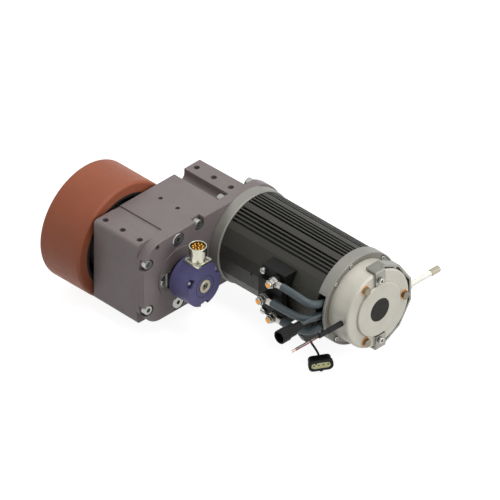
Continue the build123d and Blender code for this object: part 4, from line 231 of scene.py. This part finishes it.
# Spans of a node's output that are mapped: noise, openness of a hollow, cosine across an edge, all of it
NOISE_SPAN = (0.3, 0.7)
HOLLOW_SPAN = (0.15, 0.7)
EDGE_SPAN = (0.75, 0.99)
FULL_SPAN = (0, 1)

# Skins: how far the roughness runs below and above its mean, and strength of the bump
COAT_SPREAD = (0.06, 0.08)
COAT_BUMP = 0.35
BRUSHED_SPREAD = (0.08, 0.12)
BRUSHED_BUMP = 0.15
TURNED_SPREAD = (0.05, 0.07)
TURNED_BUMP = 0.12
RING_BUMP = 0.1
MARK_DEPTH = 0.02 * MM

# Size of the slow patches of tone on metal, and how dark and light they are against the mean
BRUSHED_PATCH = 14 * MM
BRUSHED_TONES = (0.9, 1.08)
TURNED_PATCH = 22 * MM
TURNED_TONES = (0.93, 1.05)
RING_PATCH = 4 * MM
RING_TONES = (0.95, 1.05)

# Brush marks: their width, and their scale along the brushed axis
BRUSH_MARK = 0.35 * MM
BRUSH_STRETCH = 0.03

# Turning marks: pitch of the rings, and their pitch in a wave texture at scale 1
TURN_PITCH = 0.5 * MM
WAVE_PITCH = 0.314
WAVE_DISTORTION = 0.6

# Worn edges of screws and of the release lever
SCREW_EDGE = 0.3 * MM
LEVER_EDGE = 0.4 * MM

# Ring with a screw inside: metal and roughness of both, the share of the radius where the ring sets in, and
# how far its painted shade reaches into gaps
SCREW_METAL = 1
SCREW_ROUGHNESS = 0.2
RING_METAL = 0.25
RING_ROUGHNESS = 0.4
RING_EDGE_START = 0.98
RING_HOLLOW = 2 * MM


def shade(colour, factor):
    return tuple(min(1.0, value * factor) for value in colour)


class Shader:
    """A material with its nodes, wired from left to right."""

    def __init__(self, name):
        self.material = bpy.data.materials.new(name)
        self.material.use_nodes = True
        self.nodes = self.material.node_tree.nodes
        self.links = self.material.node_tree.links
        self.surface = self.nodes["Principled BSDF"]
        self.place = self.add("ShaderNodeTexCoord").outputs["Object"]

    def add(self, kind, **settings):
        node = self.nodes.new(kind)
        for key, value in settings.items():
            setattr(node, key, value)
        return node

    def link(self, source, target):
        self.links.new(source, target)

    def mapped(self, scale=(1, 1, 1), location=(0, 0, 0)):
        """The piece's own coordinates, scaled and then shifted."""
        node = self.add("ShaderNodeMapping")
        node.inputs["Scale"].default_value = scale
        node.inputs["Location"].default_value = location
        self.link(self.place, node.inputs["Vector"])
        return node.outputs["Vector"]

    def noise(self, size, detail=3.0, vector=None):
        node = self.add("ShaderNodeTexNoise")
        node.inputs["Scale"].default_value = 1 / size
        node.inputs["Detail"].default_value = detail
        self.link(vector or self.place, node.inputs["Vector"])
        return node.outputs["Fac"]

    def ranged(self, value, low, high, span=NOISE_SPAN):
        """Maps the span of a value to low and high."""
        node = self.add("ShaderNodeMapRange")
        node.inputs["From Min"].default_value = span[0]
        node.inputs["From Max"].default_value = span[1]
        node.inputs["To Min"].default_value = low
        node.inputs["To Max"].default_value = high
        self.link(value, node.inputs["Value"])
        return node.outputs["Result"]

    def blended(self, factor, first, second):
        """Mixes two colours, each a socket or a triple."""
        node = self.add("ShaderNodeMix", data_type="RGBA")
        self.link(factor, node.inputs["Factor"])
        for socket, colour in ((node.inputs["A"], first), (node.inputs["B"], second)):
            if hasattr(colour, "is_output"):
                self.link(colour, socket)
            else:
                socket.default_value = (*colour, 1)
        return node.outputs["Result"]

    def patched(self, patches, colour, tones):
        """Runs between a darker and a lighter tone of the colour as the patches go."""
        dark, light = tones
        return self.blended(self.ranged(patches, 0, 1), shade(colour, dark), shade(colour, light))

    def shaded_in_hollows(self, tone, colour, reach, depth=0.25):
        """Paints shade into gaps, sockets and slots narrower than reach: the tone darkens there as if little
        light got in.
        """
        hollow = self.add("ShaderNodeAmbientOcclusion", samples=HOLLOW_SAMPLES)
        hollow.inputs["Distance"].default_value = reach
        openness = self.ranged(hollow.outputs["AO"], 0, 1, HOLLOW_SPAN)
        return self.blended(openness, shade(colour, depth), tone)

    def rounded(self, radius):
        """Normal of the surface as if its edges had this radius."""
        bevel = self.add("ShaderNodeBevel", samples=BEVEL_SAMPLES)
        bevel.inputs["Radius"].default_value = radius
        return bevel.outputs["Normal"]

    def edge_mask(self, radius):
        """Where a rounded normal leaves the flat one: 1 on an edge, 0 on a face."""
        cosine = self.add("ShaderNodeVectorMath", operation="DOT_PRODUCT")
        self.link(self.rounded(radius), cosine.inputs[0])
        self.link(self.add("ShaderNodeNewGeometry").outputs["Normal"], cosine.inputs[1])
        return self.ranged(cosine.outputs["Value"], 1, 0, EDGE_SPAN)

    def toned(self, tone, metallic=0.0):
        """Gives the surface its colour, and says how metallic it is."""
        self.link(tone, self.surface.inputs["Base Color"])
        self.surface.inputs["Metallic"].default_value = metallic

    def roughened(self, marks, mean, spread, span=NOISE_SPAN):
        """Lets the roughness run round its mean as the marks go."""
        roughness = self.ranged(marks, mean - spread[0], mean + spread[1], span)
        self.link(roughness, self.surface.inputs["Roughness"])

    def bumped(self, heights, strength, depth, edge=0.0):
        """Raises the surface by the heights, over edges that are rounded when an edge radius is given."""
        bump = self.add("ShaderNodeBump")
        bump.inputs["Strength"].default_value = strength
        bump.inputs["Distance"].default_value = depth
        self.link(heights, bump.inputs["Height"])
        if edge:
            self.link(self.rounded(edge), bump.inputs["Normal"])
        self.link(bump.outputs["Normal"], self.surface.inputs["Normal"])


def coated(name, colour, roughness=0.5, metallic=0.0, grain=0.6 * MM, depth=0.05 * MM, patch=18 * MM,
           mottle=0.08, edge=0.0, edge_gain=1.35, hollow=6 * MM, hollow_shade_tone=0.25, gloss=0.5):
    """Paint, moulding or cast skin: fine grain, slow patches of tone, lighter worn edges, painted shade in
    hollows.
    """
    made = Shader(name)
    tone = made.patched(made.noise(patch, detail=4), colour, (1 - mottle, 1 + mottle))
    if edge:
        tone = made.blended(made.edge_mask(edge), tone, shade(colour, edge_gain))
    # The tone gets painted shade in hollows narrower than hollow.
    made.toned(made.shaded_in_hollows(tone, colour, hollow, hollow_shade_tone), metallic)
    made.roughened(made.noise(patch / 5, detail=5), roughness, COAT_SPREAD)
    made.surface.inputs["Specular IOR Level"].default_value = gloss
    made.bumped(made.noise(grain, detail=2), COAT_BUMP, depth, edge)
    return made.material


def brushed(name, colour, axis, roughness, metallic=1.0, edge=0.0, hollow=3 * MM):
    """Metal with fine marks along one axis."""
    made = Shader(name)
    stretch = [BRUSH_STRETCH if way == axis else 1 for way in "XYZ"]
    marks = made.noise(BRUSH_MARK, vector=made.mapped(stretch))
    tone = made.patched(made.noise(BRUSHED_PATCH), colour, BRUSHED_TONES)
    # Painted shade in gaps and sockets narrower than hollow.
    if hollow:
        tone = made.shaded_in_hollows(tone, colour, hollow)
    made.toned(tone, metallic)
    made.roughened(marks, roughness, BRUSHED_SPREAD)
    made.bumped(marks, BRUSHED_BUMP, MARK_DEPTH, edge)
    return made.material


def turned(name, colour, centre_x, roughness, metallic=1.0, edge=0.0, hollow=4 * MM):
    """Lathe-turned metal: fine rings round an axis along Y through centre_x."""
    made = Shader(name)
    wave = made.add("ShaderNodeTexWave", wave_type="RINGS", rings_direction="Y")
    wave.inputs["Scale"].default_value = WAVE_PITCH / TURN_PITCH
    wave.inputs["Distortion"].default_value = WAVE_DISTORTION
    wave.inputs["Detail"].default_value = 3
    made.link(made.mapped(location=(-centre_x, 0, -AXIS_Z)), wave.inputs["Vector"])
    rings = wave.outputs["Fac"]
    tone = made.patched(made.noise(TURNED_PATCH, detail=4), colour, TURNED_TONES)
    # Painted shade in gaps and sockets narrower than hollow.
    if hollow:
        tone = made.shaded_in_hollows(tone, colour, hollow)
    made.toned(tone, metallic)
    made.roughened(rings, roughness, TURNED_SPREAD, FULL_SPAN)
    made.bumped(rings, TURNED_BUMP, MARK_DEPTH, edge)
    return made.material


def ringed(name, colour, core_colour, core_radius, centre_x):
    """Smooth ring round an axis along Y, with a bare steel screw inside core_radius."""
    made = Shader(name)
    away = made.add("ShaderNodeVectorMath", operation="LENGTH")
    made.link(made.mapped((1, 0, 1), (-centre_x, 0, -AXIS_Z)), away.inputs[0])
    outside = made.ranged(away.outputs["Value"], 0, 1, (core_radius * RING_EDGE_START, core_radius))
    spots = made.noise(RING_PATCH)
    tone = made.blended(outside, core_colour, made.patched(spots, colour, RING_TONES))
    # Painted shade round the screw and in gaps narrower than RING_HOLLOW.
    made.toned(made.shaded_in_hollows(tone, core_colour, RING_HOLLOW))
    made.link(made.ranged(outside, SCREW_METAL, RING_METAL, FULL_SPAN), made.surface.inputs["Metallic"])
    made.link(made.ranged(outside, SCREW_ROUGHNESS, RING_ROUGHNESS, FULL_SPAN),
              made.surface.inputs["Roughness"])
    made.bumped(spots, RING_BUMP, MARK_DEPTH, SCREW_EDGE)
    return made.material


def skins(tint, edge):
    """Painted, anodised, cast and turned skins of the large pieces."""
    return {
        "gearbox": coated(
            "gearbox_paint", tint.gearbox, roughness=0.45, metallic=0.08, grain=0.5 * MM, depth=0.04 * MM,
            patch=30 * MM, mottle=0.05, edge=edge, edge_gain=1.25, hollow=2.5 * MM, hollow_shade_tone=0.6,
            gloss=0.25),
        "tread": coated(
            "tread_polyurethane", tint.tread, grain=0.9 * MM, patch=40 * MM, mottle=0.05, gloss=0.3),
        "hub": coated(
            "hub_black", tint.hub, grain=0.8 * MM, depth=0.06 * MM, patch=20 * MM, mottle=0.1, edge=edge),
        # The motor's slots and gaps get near-black painted shade.
        "motor": coated(
            "motor_anodised", tint.motor, roughness=0.45, metallic=0.08, grain=0.4 * MM, depth=0.02 * MM,
            patch=40 * MM, mottle=0.06, edge=edge, edge_gain=1.4, hollow=8 * MM, hollow_shade_tone=0.06,
            gloss=0.25),
        "shield": coated(
            "shield_cast", tint.shield, roughness=0.45, metallic=0.3, patch=25 * MM, mottle=0.05, edge=edge,
            edge_gain=1.2),
        "brake": turned(
            "brake_machined", tint.brake, MOTOR_X, roughness=0.42, metallic=0.12, edge=edge),
        "encoder": coated(
            "encoder_coating", tint.encoder, roughness=0.42, metallic=0.08, grain=0.3 * MM,
            depth=0.02 * MM, patch=20 * MM, mottle=0.06, edge=edge, edge_gain=1.5, gloss=0.3),
    }


def plastics(tint, edge):
    """Mouldings, rubber, cable jackets and the brake's lining."""
    return {
        "moulding": coated(
            "black_moulding", tint.moulding, grain=0.4 * MM, depth=0.04 * MM, patch=14 * MM, mottle=0.1,
            edge=edge, edge_gain=1.5, gloss=0.2),
        "black_hole": coated(
            "plug_black", rgb(6, 6, 6), roughness=0.6, grain=0.4 * MM, depth=0.02 * MM, patch=8 * MM,
            mottle=0.1, gloss=0.1),
        "insert": coated(
            "connector_insert", tint.insert, roughness=0.45, grain=0.4 * MM, depth=0.02 * MM,
            patch=8 * MM, mottle=0.05),
        "handle": coated(
            "handle_ivory", tint.handle, roughness=0.35, grain=0.5 * MM, depth=0.02 * MM, patch=12 * MM,
            mottle=0.03),
        "rubber": coated(
            "black_rubber", rgb(20, 20, 20), roughness=0.6, grain=0.4 * MM, depth=0.04 * MM,
            patch=14 * MM, mottle=0.1, gloss=0.25),
        "plug": coated(
            "plug_rubber", rgb(28, 26, 22), roughness=0.55, depth=0.04 * MM, patch=14 * MM, edge=edge,
            gloss=0.2),
        "cable": coated(
            "cable_jacket", tint.cable, grain=0.5 * MM, depth=0.04 * MM, patch=16 * MM, mottle=0.06),
        "red_core": coated(
            "core_red", rgb(128, 30, 28), roughness=0.45, grain=0.4 * MM, depth=0.02 * MM,
            patch=10 * MM, mottle=0.06),
        "black_core": coated(
            "core_black", rgb(28, 28, 29), roughness=0.45, grain=0.4 * MM, depth=0.02 * MM,
            patch=10 * MM, mottle=0.06),
        "lining": coated(
            "brake_lining", rgb(88, 78, 68), roughness=0.8, grain=0.8 * MM, depth=0.1 * MM,
            patch=8 * MM, mottle=0.15),
    }


def metals(edge):
    """Screws, shafts, windings, contacts and the parts of the brake's release."""
    return {
        "steel": brushed("fastener_zinc", rgb(176, 176, 172), "Y", 0.34, edge=SCREW_EDGE),
        "bright": brushed("fastener_bright", rgb(186, 184, 178), "X", 0.2, edge=SCREW_EDGE, hollow=2 * MM),
        "brown": brushed("fastener_brown", rgb(132, 124, 110), "Y", 0.36, edge=SCREW_EDGE),
        "shaft": turned("shaft_steel", rgb(150, 150, 152), WHEEL_X, 0.3),
        "lamination": brushed("lamination_steel", rgb(110, 110, 112), "X", 0.45),
        "copper": brushed("winding_copper", rgb(184, 110, 60), "Y", 0.4),
        "washer": turned("washer_copper", rgb(236, 166, 78), MOTOR_X, 0.4, hollow=0),
        "strand": brushed("strand_copper", rgb(224, 160, 140), "X", 0.4),
        "brass": brushed("terminal_brass", rgb(218, 146, 48), "X", 0.28, edge=SCREW_EDGE),
        "gold": brushed("pin_gold", rgb(255, 196, 92), "Z", 0.3, metallic=0.7, hollow=0),
        "nickel": brushed("nickel_plate", rgb(196, 194, 178), "Z", 0.16, edge=SCREW_EDGE, hollow=0),
        "lever": brushed("lever_zinc", rgb(146, 146, 139), "Z", 0.3, edge=LEVER_EDGE),
        "tip": coated(
            "tip_steel", rgb(176, 168, 150), roughness=0.35, metallic=0.6, grain=0.4 * MM,
            depth=0.02 * MM, patch=12 * MM, mottle=0.05, edge=edge),
        "ring": ringed(
            "ring_beige", rgb(206, 196, 168), rgb(120, 122, 118), RING_SCREW_RADIUS * MM, WHEEL_X),
    }


FINISHES = {}
NODE_FINISH = {
    "gearbox": ("gearbox_housing", "gearbox_cover"),
    "steel": ("gearbox_screws", "oil_plugs", "encoder_screws", "encoder_bracket", "wheel_bolts",
              "brake_springs"),
    "bright": ("terminal_hardware", "cable_lugs", "rear_shield_screws", "release_screws"),
    "brown": ("brake_screws",),
    "shaft": ("output_bearings", "small_bearings", "output_shaft", "output_gear",
              "intermediate_shaft", "intermediate_gear", "motor_shaft", "encoder_spindle"),
    "rubber": ("shaft_seals", "brake_lead_boot"),
    "tread": ("wheel_tread",),
    "hub": ("wheel_hub",),
    "shield": ("motor_front_shield", "motor_rear_shield"),
    "motor": ("motor_housing", "sensor_outlet"),
    "lamination": ("stator_core", "motor_rotor", "brake_magnet", "brake_armature"),
    "copper": ("stator_windings", "brake_coil"),
    "brake": ("brake_cover",),
    "washer": ("brake_washers",),
    "lining": ("brake_disc",),
    "lever": ("release_lever",),
    "tip": ("handle_tip",),
    "plug": ("brake_plug",),
    "insert": ("sensor_connector_insert",),
    "handle": ("release_handle",),
    "encoder": ("encoder_body",),
    "moulding": ("encoder_back_flange", "encoder_connector_insert", "terminal_block", "terminal_insulators",
                 "round_connector", "sensor_connector"),
    "nickel": ("encoder_connector_shell",),
    "gold": ("encoder_connector_pins",),
    "brass": ("terminal_bolts",),
    "ring": ("encoder_ring",),
}


def dress(obj, finish):
    obj.data.materials.clear()
    obj.data.materials.append(FINISHES[finish])


# Shapes


def point_of(route, index):
    return tuple(value * MM for value in route[index])


def cord_curve(name, route, diameter, finish, body="root"):
    """Smooth NURBS line through a route's control points, with a round section."""
    curve = bpy.data.curves.new(name, "CURVE")
    curve.dimensions = "3D"
    curve.bevel_depth = diameter / 2
    curve.bevel_resolution = CORD_ROUND_STEPS
    curve.use_fill_caps = True
    curve.resolution_u = CORD_LENGTH_STEPS
    line = curve.splines.new("NURBS")
    line.points.add(len(route) - 1)
    for point, place in zip(line.points, route):
        point.co = (*(value * MM for value in place), 1)
    line.order_u = 3
    line.use_endpoint_u = True
    obj = bpy.data.objects.new(name, curve)
    bpy.context.scene.collection.objects.link(obj)
    dress(obj, finish)
    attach(obj, body)
    return obj


def mesh_object(name, mesh, finish, body="root"):
    data = bpy.data.meshes.new(name)
    mesh.to_mesh(data)
    mesh.free()
    obj = bpy.data.objects.new(name, data)
    bpy.context.scene.collection.objects.link(obj)
    dress(obj, finish)
    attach(obj, body)
    return obj


def add_rod(mesh, start, end, radius, segments):
    """Closed round rod between two points."""
    way = end - start
    turn = way.to_track_quat("Z", "Y").to_matrix().to_4x4()
    bmesh.ops.create_cone(
        mesh, cap_ends=True, segments=segments, radius1=radius, radius2=radius, depth=way.length,
        matrix=Matrix.Translation((start + end) / 2) @ turn)


def added_verts(mesh, kept):
    return [vert for vert in mesh.verts if vert not in kept]


def add_lathe(mesh, profile, place, axis="Z", segments=48):
    """Round body spun from (radius, height) points in millimetres.

    A profile that starts off the axis closes on itself.
    """
    kept = set(mesh.verts)
    line = [mesh.verts.new(Vector((radius, 0, height)) * MM) for radius, height in profile]
    edges = [mesh.edges.new(pair) for pair in zip(line, line[1:])]
    if profile[0][0]:
        edges.append(mesh.edges.new((line[-1], line[0])))
    bmesh.ops.spin(
        mesh, geom=line + edges, cent=(0, 0, 0), axis=(0, 0, 1), angle=math.tau, steps=segments,
        use_merge=True)
    bmesh.ops.remove_doubles(mesh, verts=added_verts(mesh, kept), dist=MERGE_GAP)
    lie = Matrix.Rotation(math.pi / 2, 4, "Y") if axis == "X" else Matrix.Identity(4)
    bmesh.ops.transform(
        mesh, matrix=Matrix.Translation(Vector(place) * MM) @ lie, verts=added_verts(mesh, kept))


def plate_mesh(half, corner, height, chamfer, place):
    """Square plate with rounded corners and a chamfer round its top, in millimetres."""
    mesh = bmesh.new()
    bmesh.ops.create_cube(mesh, size=1)
    bmesh.ops.scale(mesh, vec=Vector((2 * half, 2 * half, height)) * MM, verts=mesh.verts)
    upright = [edge for edge in mesh.edges if abs(edge.verts[0].co.z - edge.verts[1].co.z) > height * MM / 2]
    bmesh.ops.bevel(
        mesh, geom=upright, offset=corner * MM, affect="EDGES", segments=4, profile=0.5, material=-1)
    rim = [edge for edge in mesh.edges if all(vert.co.z > 0 for vert in edge.verts)]
    bmesh.ops.bevel(
        mesh, geom=rim, offset=chamfer * MM, affect="EDGES", segments=1, profile=0.5, material=-1)
    lift = Vector(place) + Vector((0, 0, height / 2))
    bmesh.ops.translate(mesh, vec=lift * MM, verts=mesh.verts)
    return mesh


def fine_piece(name, mesh, finish, slot, *nodes):
    """Turned or flat piece of the root body with crisp edges, in place of the nodes named."""
    bmesh.ops.recalc_face_normals(mesh, faces=mesh.faces)
    obj = mesh_object(name, mesh, finish)
    obj.data.shade_smooth()
    obj.data.set_sharp_from_angle(angle=math.radians(SHARP_CORNER))
    if nodes:
        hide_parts(*nodes)
    return obj


def bare_strands(name, route):
    """Bared end of a core: one fine strand in the middle and a ring of them that spreads a little."""
    start = Vector(point_of(route, -1))
    way = (start - Vector(point_of(route, -2))).normalized()
    across = way.cross(Vector((0, 0, 1))).normalized()
    up = across.cross(way)
    middle = STRANDS - 1
    mesh = bmesh.new()
    for n in range(STRANDS):
        angle = math.tau * n / middle
        side = Vector() if n == middle else math.cos(angle) * across + math.sin(angle) * up
        length = (STRAND_LENGTH - STRAND_UNEVEN * (3 * n % 5)) * MM
        root = start - STRAND_OVERLAP * MM * way + STRAND_START_CIRCLE * MM * side
        tip = start + length * way + STRAND_END_CIRCLE * MM * side
        add_rod(mesh, root, tip, STRAND_RADIUS * MM, segments=8)
    return mesh_object(name, mesh, "strand")


class DRIVE_OT_finishes(bpy.types.Operator):
    """Give every carried-over piece its paint, metal or moulding"""
    bl_idname = "drive.finishes"
    bl_label = "Finishes"

    def execute(self, context):
        tint = context.scene.drive_colours
        edge = context.scene.drive_sizes.edge
        FINISHES.update({**skins(tint, edge), **plastics(tint, edge), **metals(edge)})
        for finish, names in NODE_FINISH.items():
            for name in names:
                dress(NODES[name], finish)
        return {"FINISHED"}


class DRIVE_OT_power_cables(bpy.types.Operator):
    """Lay the three power cables from the terminal lugs into the motor"""
    bl_idname = "drive.power_cables"
    bl_label = "Power cables"

    def execute(self, context):
        sizes = context.scene.drive_sizes
        for number, route in enumerate(POWER_CABLE_ROUTES, 1):
            cable = cord_curve(f"power_cable_{number}", route, sizes.power_cable, "cable")
            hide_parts("power_cables")
        return {"FINISHED"}


class DRIVE_OT_brake_lead(bpy.types.Operator):
    """Lay the brake lead and its red and black cores with their bare ends"""
    bl_idname = "drive.brake_lead"
    bl_label = "Brake lead"

    def execute(self, context):
        sizes = context.scene.drive_sizes
        lead = cord_curve("brake_lead_line", BRAKE_LEAD_ROUTE, sizes.brake_lead, "rubber")
        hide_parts("brake_lead")
        cores = (("red", RED_CORE_ROUTE, 0.0399), ("black", BLACK_CORE_ROUTE, 0.0407))
        for colour, route, length in cores:
            node = f"brake_core_{colour}"
            core = cord_curve(f"core_{colour}_line", route, sizes.core, f"{colour}_core")
            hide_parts(node)
            strands = bare_strands(f"core_{colour}_strands", route)
            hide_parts(node)
        return {"FINISHED"}


class DRIVE_OT_plug_lead(bpy.types.Operator):
    """Lay the short lead of the round plug"""
    bl_idname = "drive.plug_lead"
    bl_label = "Plug lead"

    def execute(self, context):
        sizes = context.scene.drive_sizes
        lead = cord_curve("plug_lead_line", PLUG_LEAD_ROUTE, sizes.plug_lead, "cable")
        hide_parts("round_connector_lead")
        return {"FINISHED"}


class DRIVE_OT_sensor_cable(bpy.types.Operator):
    """Hang the flat connector's sensor cable under the motor"""
    bl_idname = "drive.sensor_cable"
    bl_label = "Sensor cable"

    def execute(self, context):
        sizes = context.scene.drive_sizes
        cable = cord_curve("sensor_cable_line", SENSOR_CABLE_ROUTE, sizes.sensor_cable, "rubber")
        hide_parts("sensor_cable")
        return {"FINISHED"}


class DRIVE_OT_terminal_studs(bpy.types.Operator):
    """Turn the brass cores and the steel collars of the terminal studs"""
    bl_idname = "drive.terminal_studs"
    bl_label = "Terminal studs"

    def execute(self, context):
        brass = bmesh.new()
        chrome = bmesh.new()
        core_radius = STUD_CORE_TIP[-1][0]
        bore, rim = STUD_COLLAR_TIP[0][0], STUD_COLLAR_TIP[-1][0]
        for face_x, y, z, tip_x in TERMINAL_STUDS:
            root = face_x - STUD_HEAD_ROOT - tip_x
            foot = face_x + STUD_DEPTH - tip_x
            shank = ((core_radius, root), (STUD_SHANK_RADIUS, root), (STUD_SHANK_RADIUS, foot), (0, foot))
            add_lathe(brass, STUD_CORE_TIP + shank, (tip_x, y, z), "X")
            add_lathe(chrome, STUD_COLLAR_TIP + ((rim, root), (bore, root)), (tip_x, y, z), "X")
        fine_piece("terminal_stud_cores", brass, "brass", "terminal_brass", "terminal_bolts")
        fine_piece("terminal_stud_collars", chrome, "bright", "terminal_brass", "terminal_bolts")
        return {"FINISHED"}


class DRIVE_OT_encoder_connector(bpy.types.Operator):
    """Build the encoder connector's flange, barrel and pins"""
    bl_idname = "drive.encoder_connector"
    bl_label = "Encoder connector"

    def execute(self, context):
        foot_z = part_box("encoder_connector_shell")[0][2] / MM
        place = (*CONNECTOR_AXIS, foot_z)
        shell = plate_mesh(FLANGE_HALF, FLANGE_CORNER, FLANGE_HEIGHT, FLANGE_CHAMFER, place)
        add_lathe(shell, BARREL_PROFILE, place, segments=72)
        fine_piece("connector_barrel", shell, "nickel", "connector_nickel", "encoder_connector_shell")
        pins = bmesh.new()
        for radius, count in PIN_RINGS:
            for n in range(count):
                angle = math.tau * n / count
                along = (radius * math.cos(angle), radius * math.sin(angle), 0)
                add_lathe(pins, PIN_PROFILE, [a + b for a, b in zip(place, along)], segments=16)
        fine_piece("connector_pins", pins, "gold", "gold_pins", "encoder_connector_pins")
        return {"FINISHED"}


class DRIVE_OT_side_plug(bpy.types.Operator):
    """Set the small dark plug into the side of the motor"""
    bl_idname = "drive.side_plug"
    bl_label = "Side plug"

    def execute(self, context):
        plug = bmesh.new()
        add_lathe(plug, SIDE_PLUG_PROFILE, (0, 0, 0), "X", segments=32)
        turn = Matrix.Rotation(math.radians(SIDE_PLUG_TILT), 4, "Y")
        bmesh.ops.transform(plug, matrix=Matrix.Translation(Vector(SIDE_PLUG) * MM) @ turn, verts=plug.verts)
        fine_piece("motor_side_plug", plug, "black_hole", "motor_black")
        return {"FINISHED"}


# Stage


def seen_straight(nodes, links):
    """1 where the camera, a reflection or a clear piece looks at the backdrop, 0 where it only lights."""
    rays = nodes.new("ShaderNodeLightPath")
    total = rays.outputs["Is Camera Ray"]
    for kind in ("Is Glossy Ray", "Is Transmission Ray"):
        either = nodes.new("ShaderNodeMath")
        either.operation = "MAXIMUM"
        links.new(total, either.inputs[0])
        links.new(rays.outputs[kind], either.inputs[1])
        total = either.outputs["Value"]
    return total


def lay_floor(scene):
    """Wide floor just below the part: white where it is looked at, and it takes the part's shadow."""
    mesh = bmesh.new()
    bmesh.ops.create_grid(mesh, x_segments=1, y_segments=1, size=FLOOR_HALF)
    bmesh.ops.translate(mesh, verts=mesh.verts, vec=(0, 0, CAD_BOX[0][2] - FLOOR_GAP))
    data = bpy.data.meshes.new("floor")
    mesh.to_mesh(data)
    mesh.free()
    floor = bpy.data.objects.new("floor", data)
    scene.collection.objects.link(floor)
    white = Shader("floor_white")
    white.surface.inputs["Base Color"].default_value = (*FLOOR_TONE, 1)
    white.surface.inputs["Roughness"].default_value = FLOOR_ROUGHNESS
    white.surface.inputs["Emission Color"].default_value = (1, 1, 1, 1)
    seen = seen_straight(white.nodes, white.links)
    white.link(white.ranged(seen, 0, FLOOR_GLOW, FULL_SPAN), white.surface.inputs["Emission Strength"])
    floor.data.materials.append(white.material)


def light_sky(scene):
    """White sky where it is looked at; its light on the part is softer, and stronger from one side."""
    world = bpy.data.worlds.new("studio")
    scene.world = world
    world.use_nodes = True
    nodes, links = world.node_tree.nodes, world.node_tree.links
    background = nodes["Background"]
    background.inputs["Color"].default_value = (1, 1, 1, 1)
    place = nodes.new("ShaderNodeTexCoord")
    slope = nodes.new("ShaderNodeVectorMath")
    slope.operation = "DOT_PRODUCT"
    slope.inputs[1].default_value = SKY_SLOPE
    links.new(place.outputs["Generated"], slope.inputs[0])
    strength = nodes.new("ShaderNodeMapRange")
    strength.clamp = False
    strength.inputs["From Min"].default_value = -1
    strength.inputs["To Min"].default_value = SKY_STRENGTH - 1
    strength.inputs["To Max"].default_value = SKY_STRENGTH + 1
    links.new(slope.outputs["Value"], strength.inputs["Value"])
    seen = nodes.new("ShaderNodeMix")
    seen.inputs["B"].default_value = 1
    links.new(seen_straight(nodes, links), seen.inputs["Factor"])
    links.new(strength.outputs["Result"], seen.inputs["A"])
    links.new(seen.outputs["Result"], background.inputs["Strength"])


def add_lamp(scene, name, place, size, power):
    light = bpy.data.lights.new(name, "AREA")
    light.size = size
    light.energy = power
    lamp = bpy.data.objects.new(name, light)
    lamp.location = place
    lamp.rotation_euler = (Vector(LAMP_AIM) - Vector(place)).to_track_quat("-Z", "Y").to_euler()
    scene.collection.objects.link(lamp)


def place_camera(scene):
    camera = bpy.data.cameras.new("camera")
    camera.type = "ORTHO"
    camera.ortho_scale = CAMERA_WIDTH
    camera.clip_end = CAMERA_REACH
    viewer = bpy.data.objects.new("camera", camera)
    way = Vector(CAMERA_WAY).normalized()
    viewer.location = Vector(CAMERA_AIM) + CAMERA_DISTANCE * way
    viewer.rotation_euler = (-way).to_track_quat("-Z", "Y").to_euler()
    scene.collection.objects.link(viewer)
    scene.camera = viewer


class DRIVE_OT_stage(bpy.types.Operator):
    """Set the floor, the sky, the soft lamps and the camera"""
    bl_idname = "drive.stage"
    bl_label = "Stage"

    def execute(self, context):
        scene = context.scene
        scene.view_settings.view_transform = "Standard"
        lay_floor(scene)
        light_sky(scene)
        for name, place, size, power in LAMPS:
            add_lamp(scene, name, place, size, power)
        place_camera(scene)
        return {"FINISHED"}


class DRIVE_PT_panel(bpy.types.Panel):
    """Steps that dress the drive unit"""
    bl_label = "Drive unit"
    bl_idname = "DRIVE_PT_panel"
    bl_space_type = "VIEW_3D"
    bl_region_type = "UI"
    bl_category = "Drive unit"

    def draw(self, context):
        for step in STEPS:
            self.layout.operator(step.bl_idname)
        for group in (context.scene.drive_colours, context.scene.drive_sizes):
            for key in group.__annotations__:
                self.layout.prop(group, key)


STEPS = (
    DRIVE_OT_finishes, DRIVE_OT_power_cables, DRIVE_OT_brake_lead, DRIVE_OT_plug_lead,
    DRIVE_OT_sensor_cable, DRIVE_OT_terminal_studs, DRIVE_OT_encoder_connector, DRIVE_OT_side_plug,
    DRIVE_OT_stage,
)
CLASSES = (DriveColours, DriveSizes, *STEPS, DRIVE_PT_panel)


def register():
    for cls in CLASSES:
        bpy.utils.register_class(cls)
    bpy.types.Scene.drive_colours = bpy.props.PointerProperty(type=DriveColours)
    bpy.types.Scene.drive_sizes = bpy.props.PointerProperty(type=DriveSizes)


def unregister():
    del bpy.types.Scene.drive_sizes
    del bpy.types.Scene.drive_colours
    for cls in reversed(CLASSES):
        bpy.utils.unregister_class(cls)


def main():
    register()
    for step in STEPS:
        group, name = step.bl_idname.split(".")
        getattr(getattr(bpy.ops, group), name)()


if __name__ == "__main__":
    main()
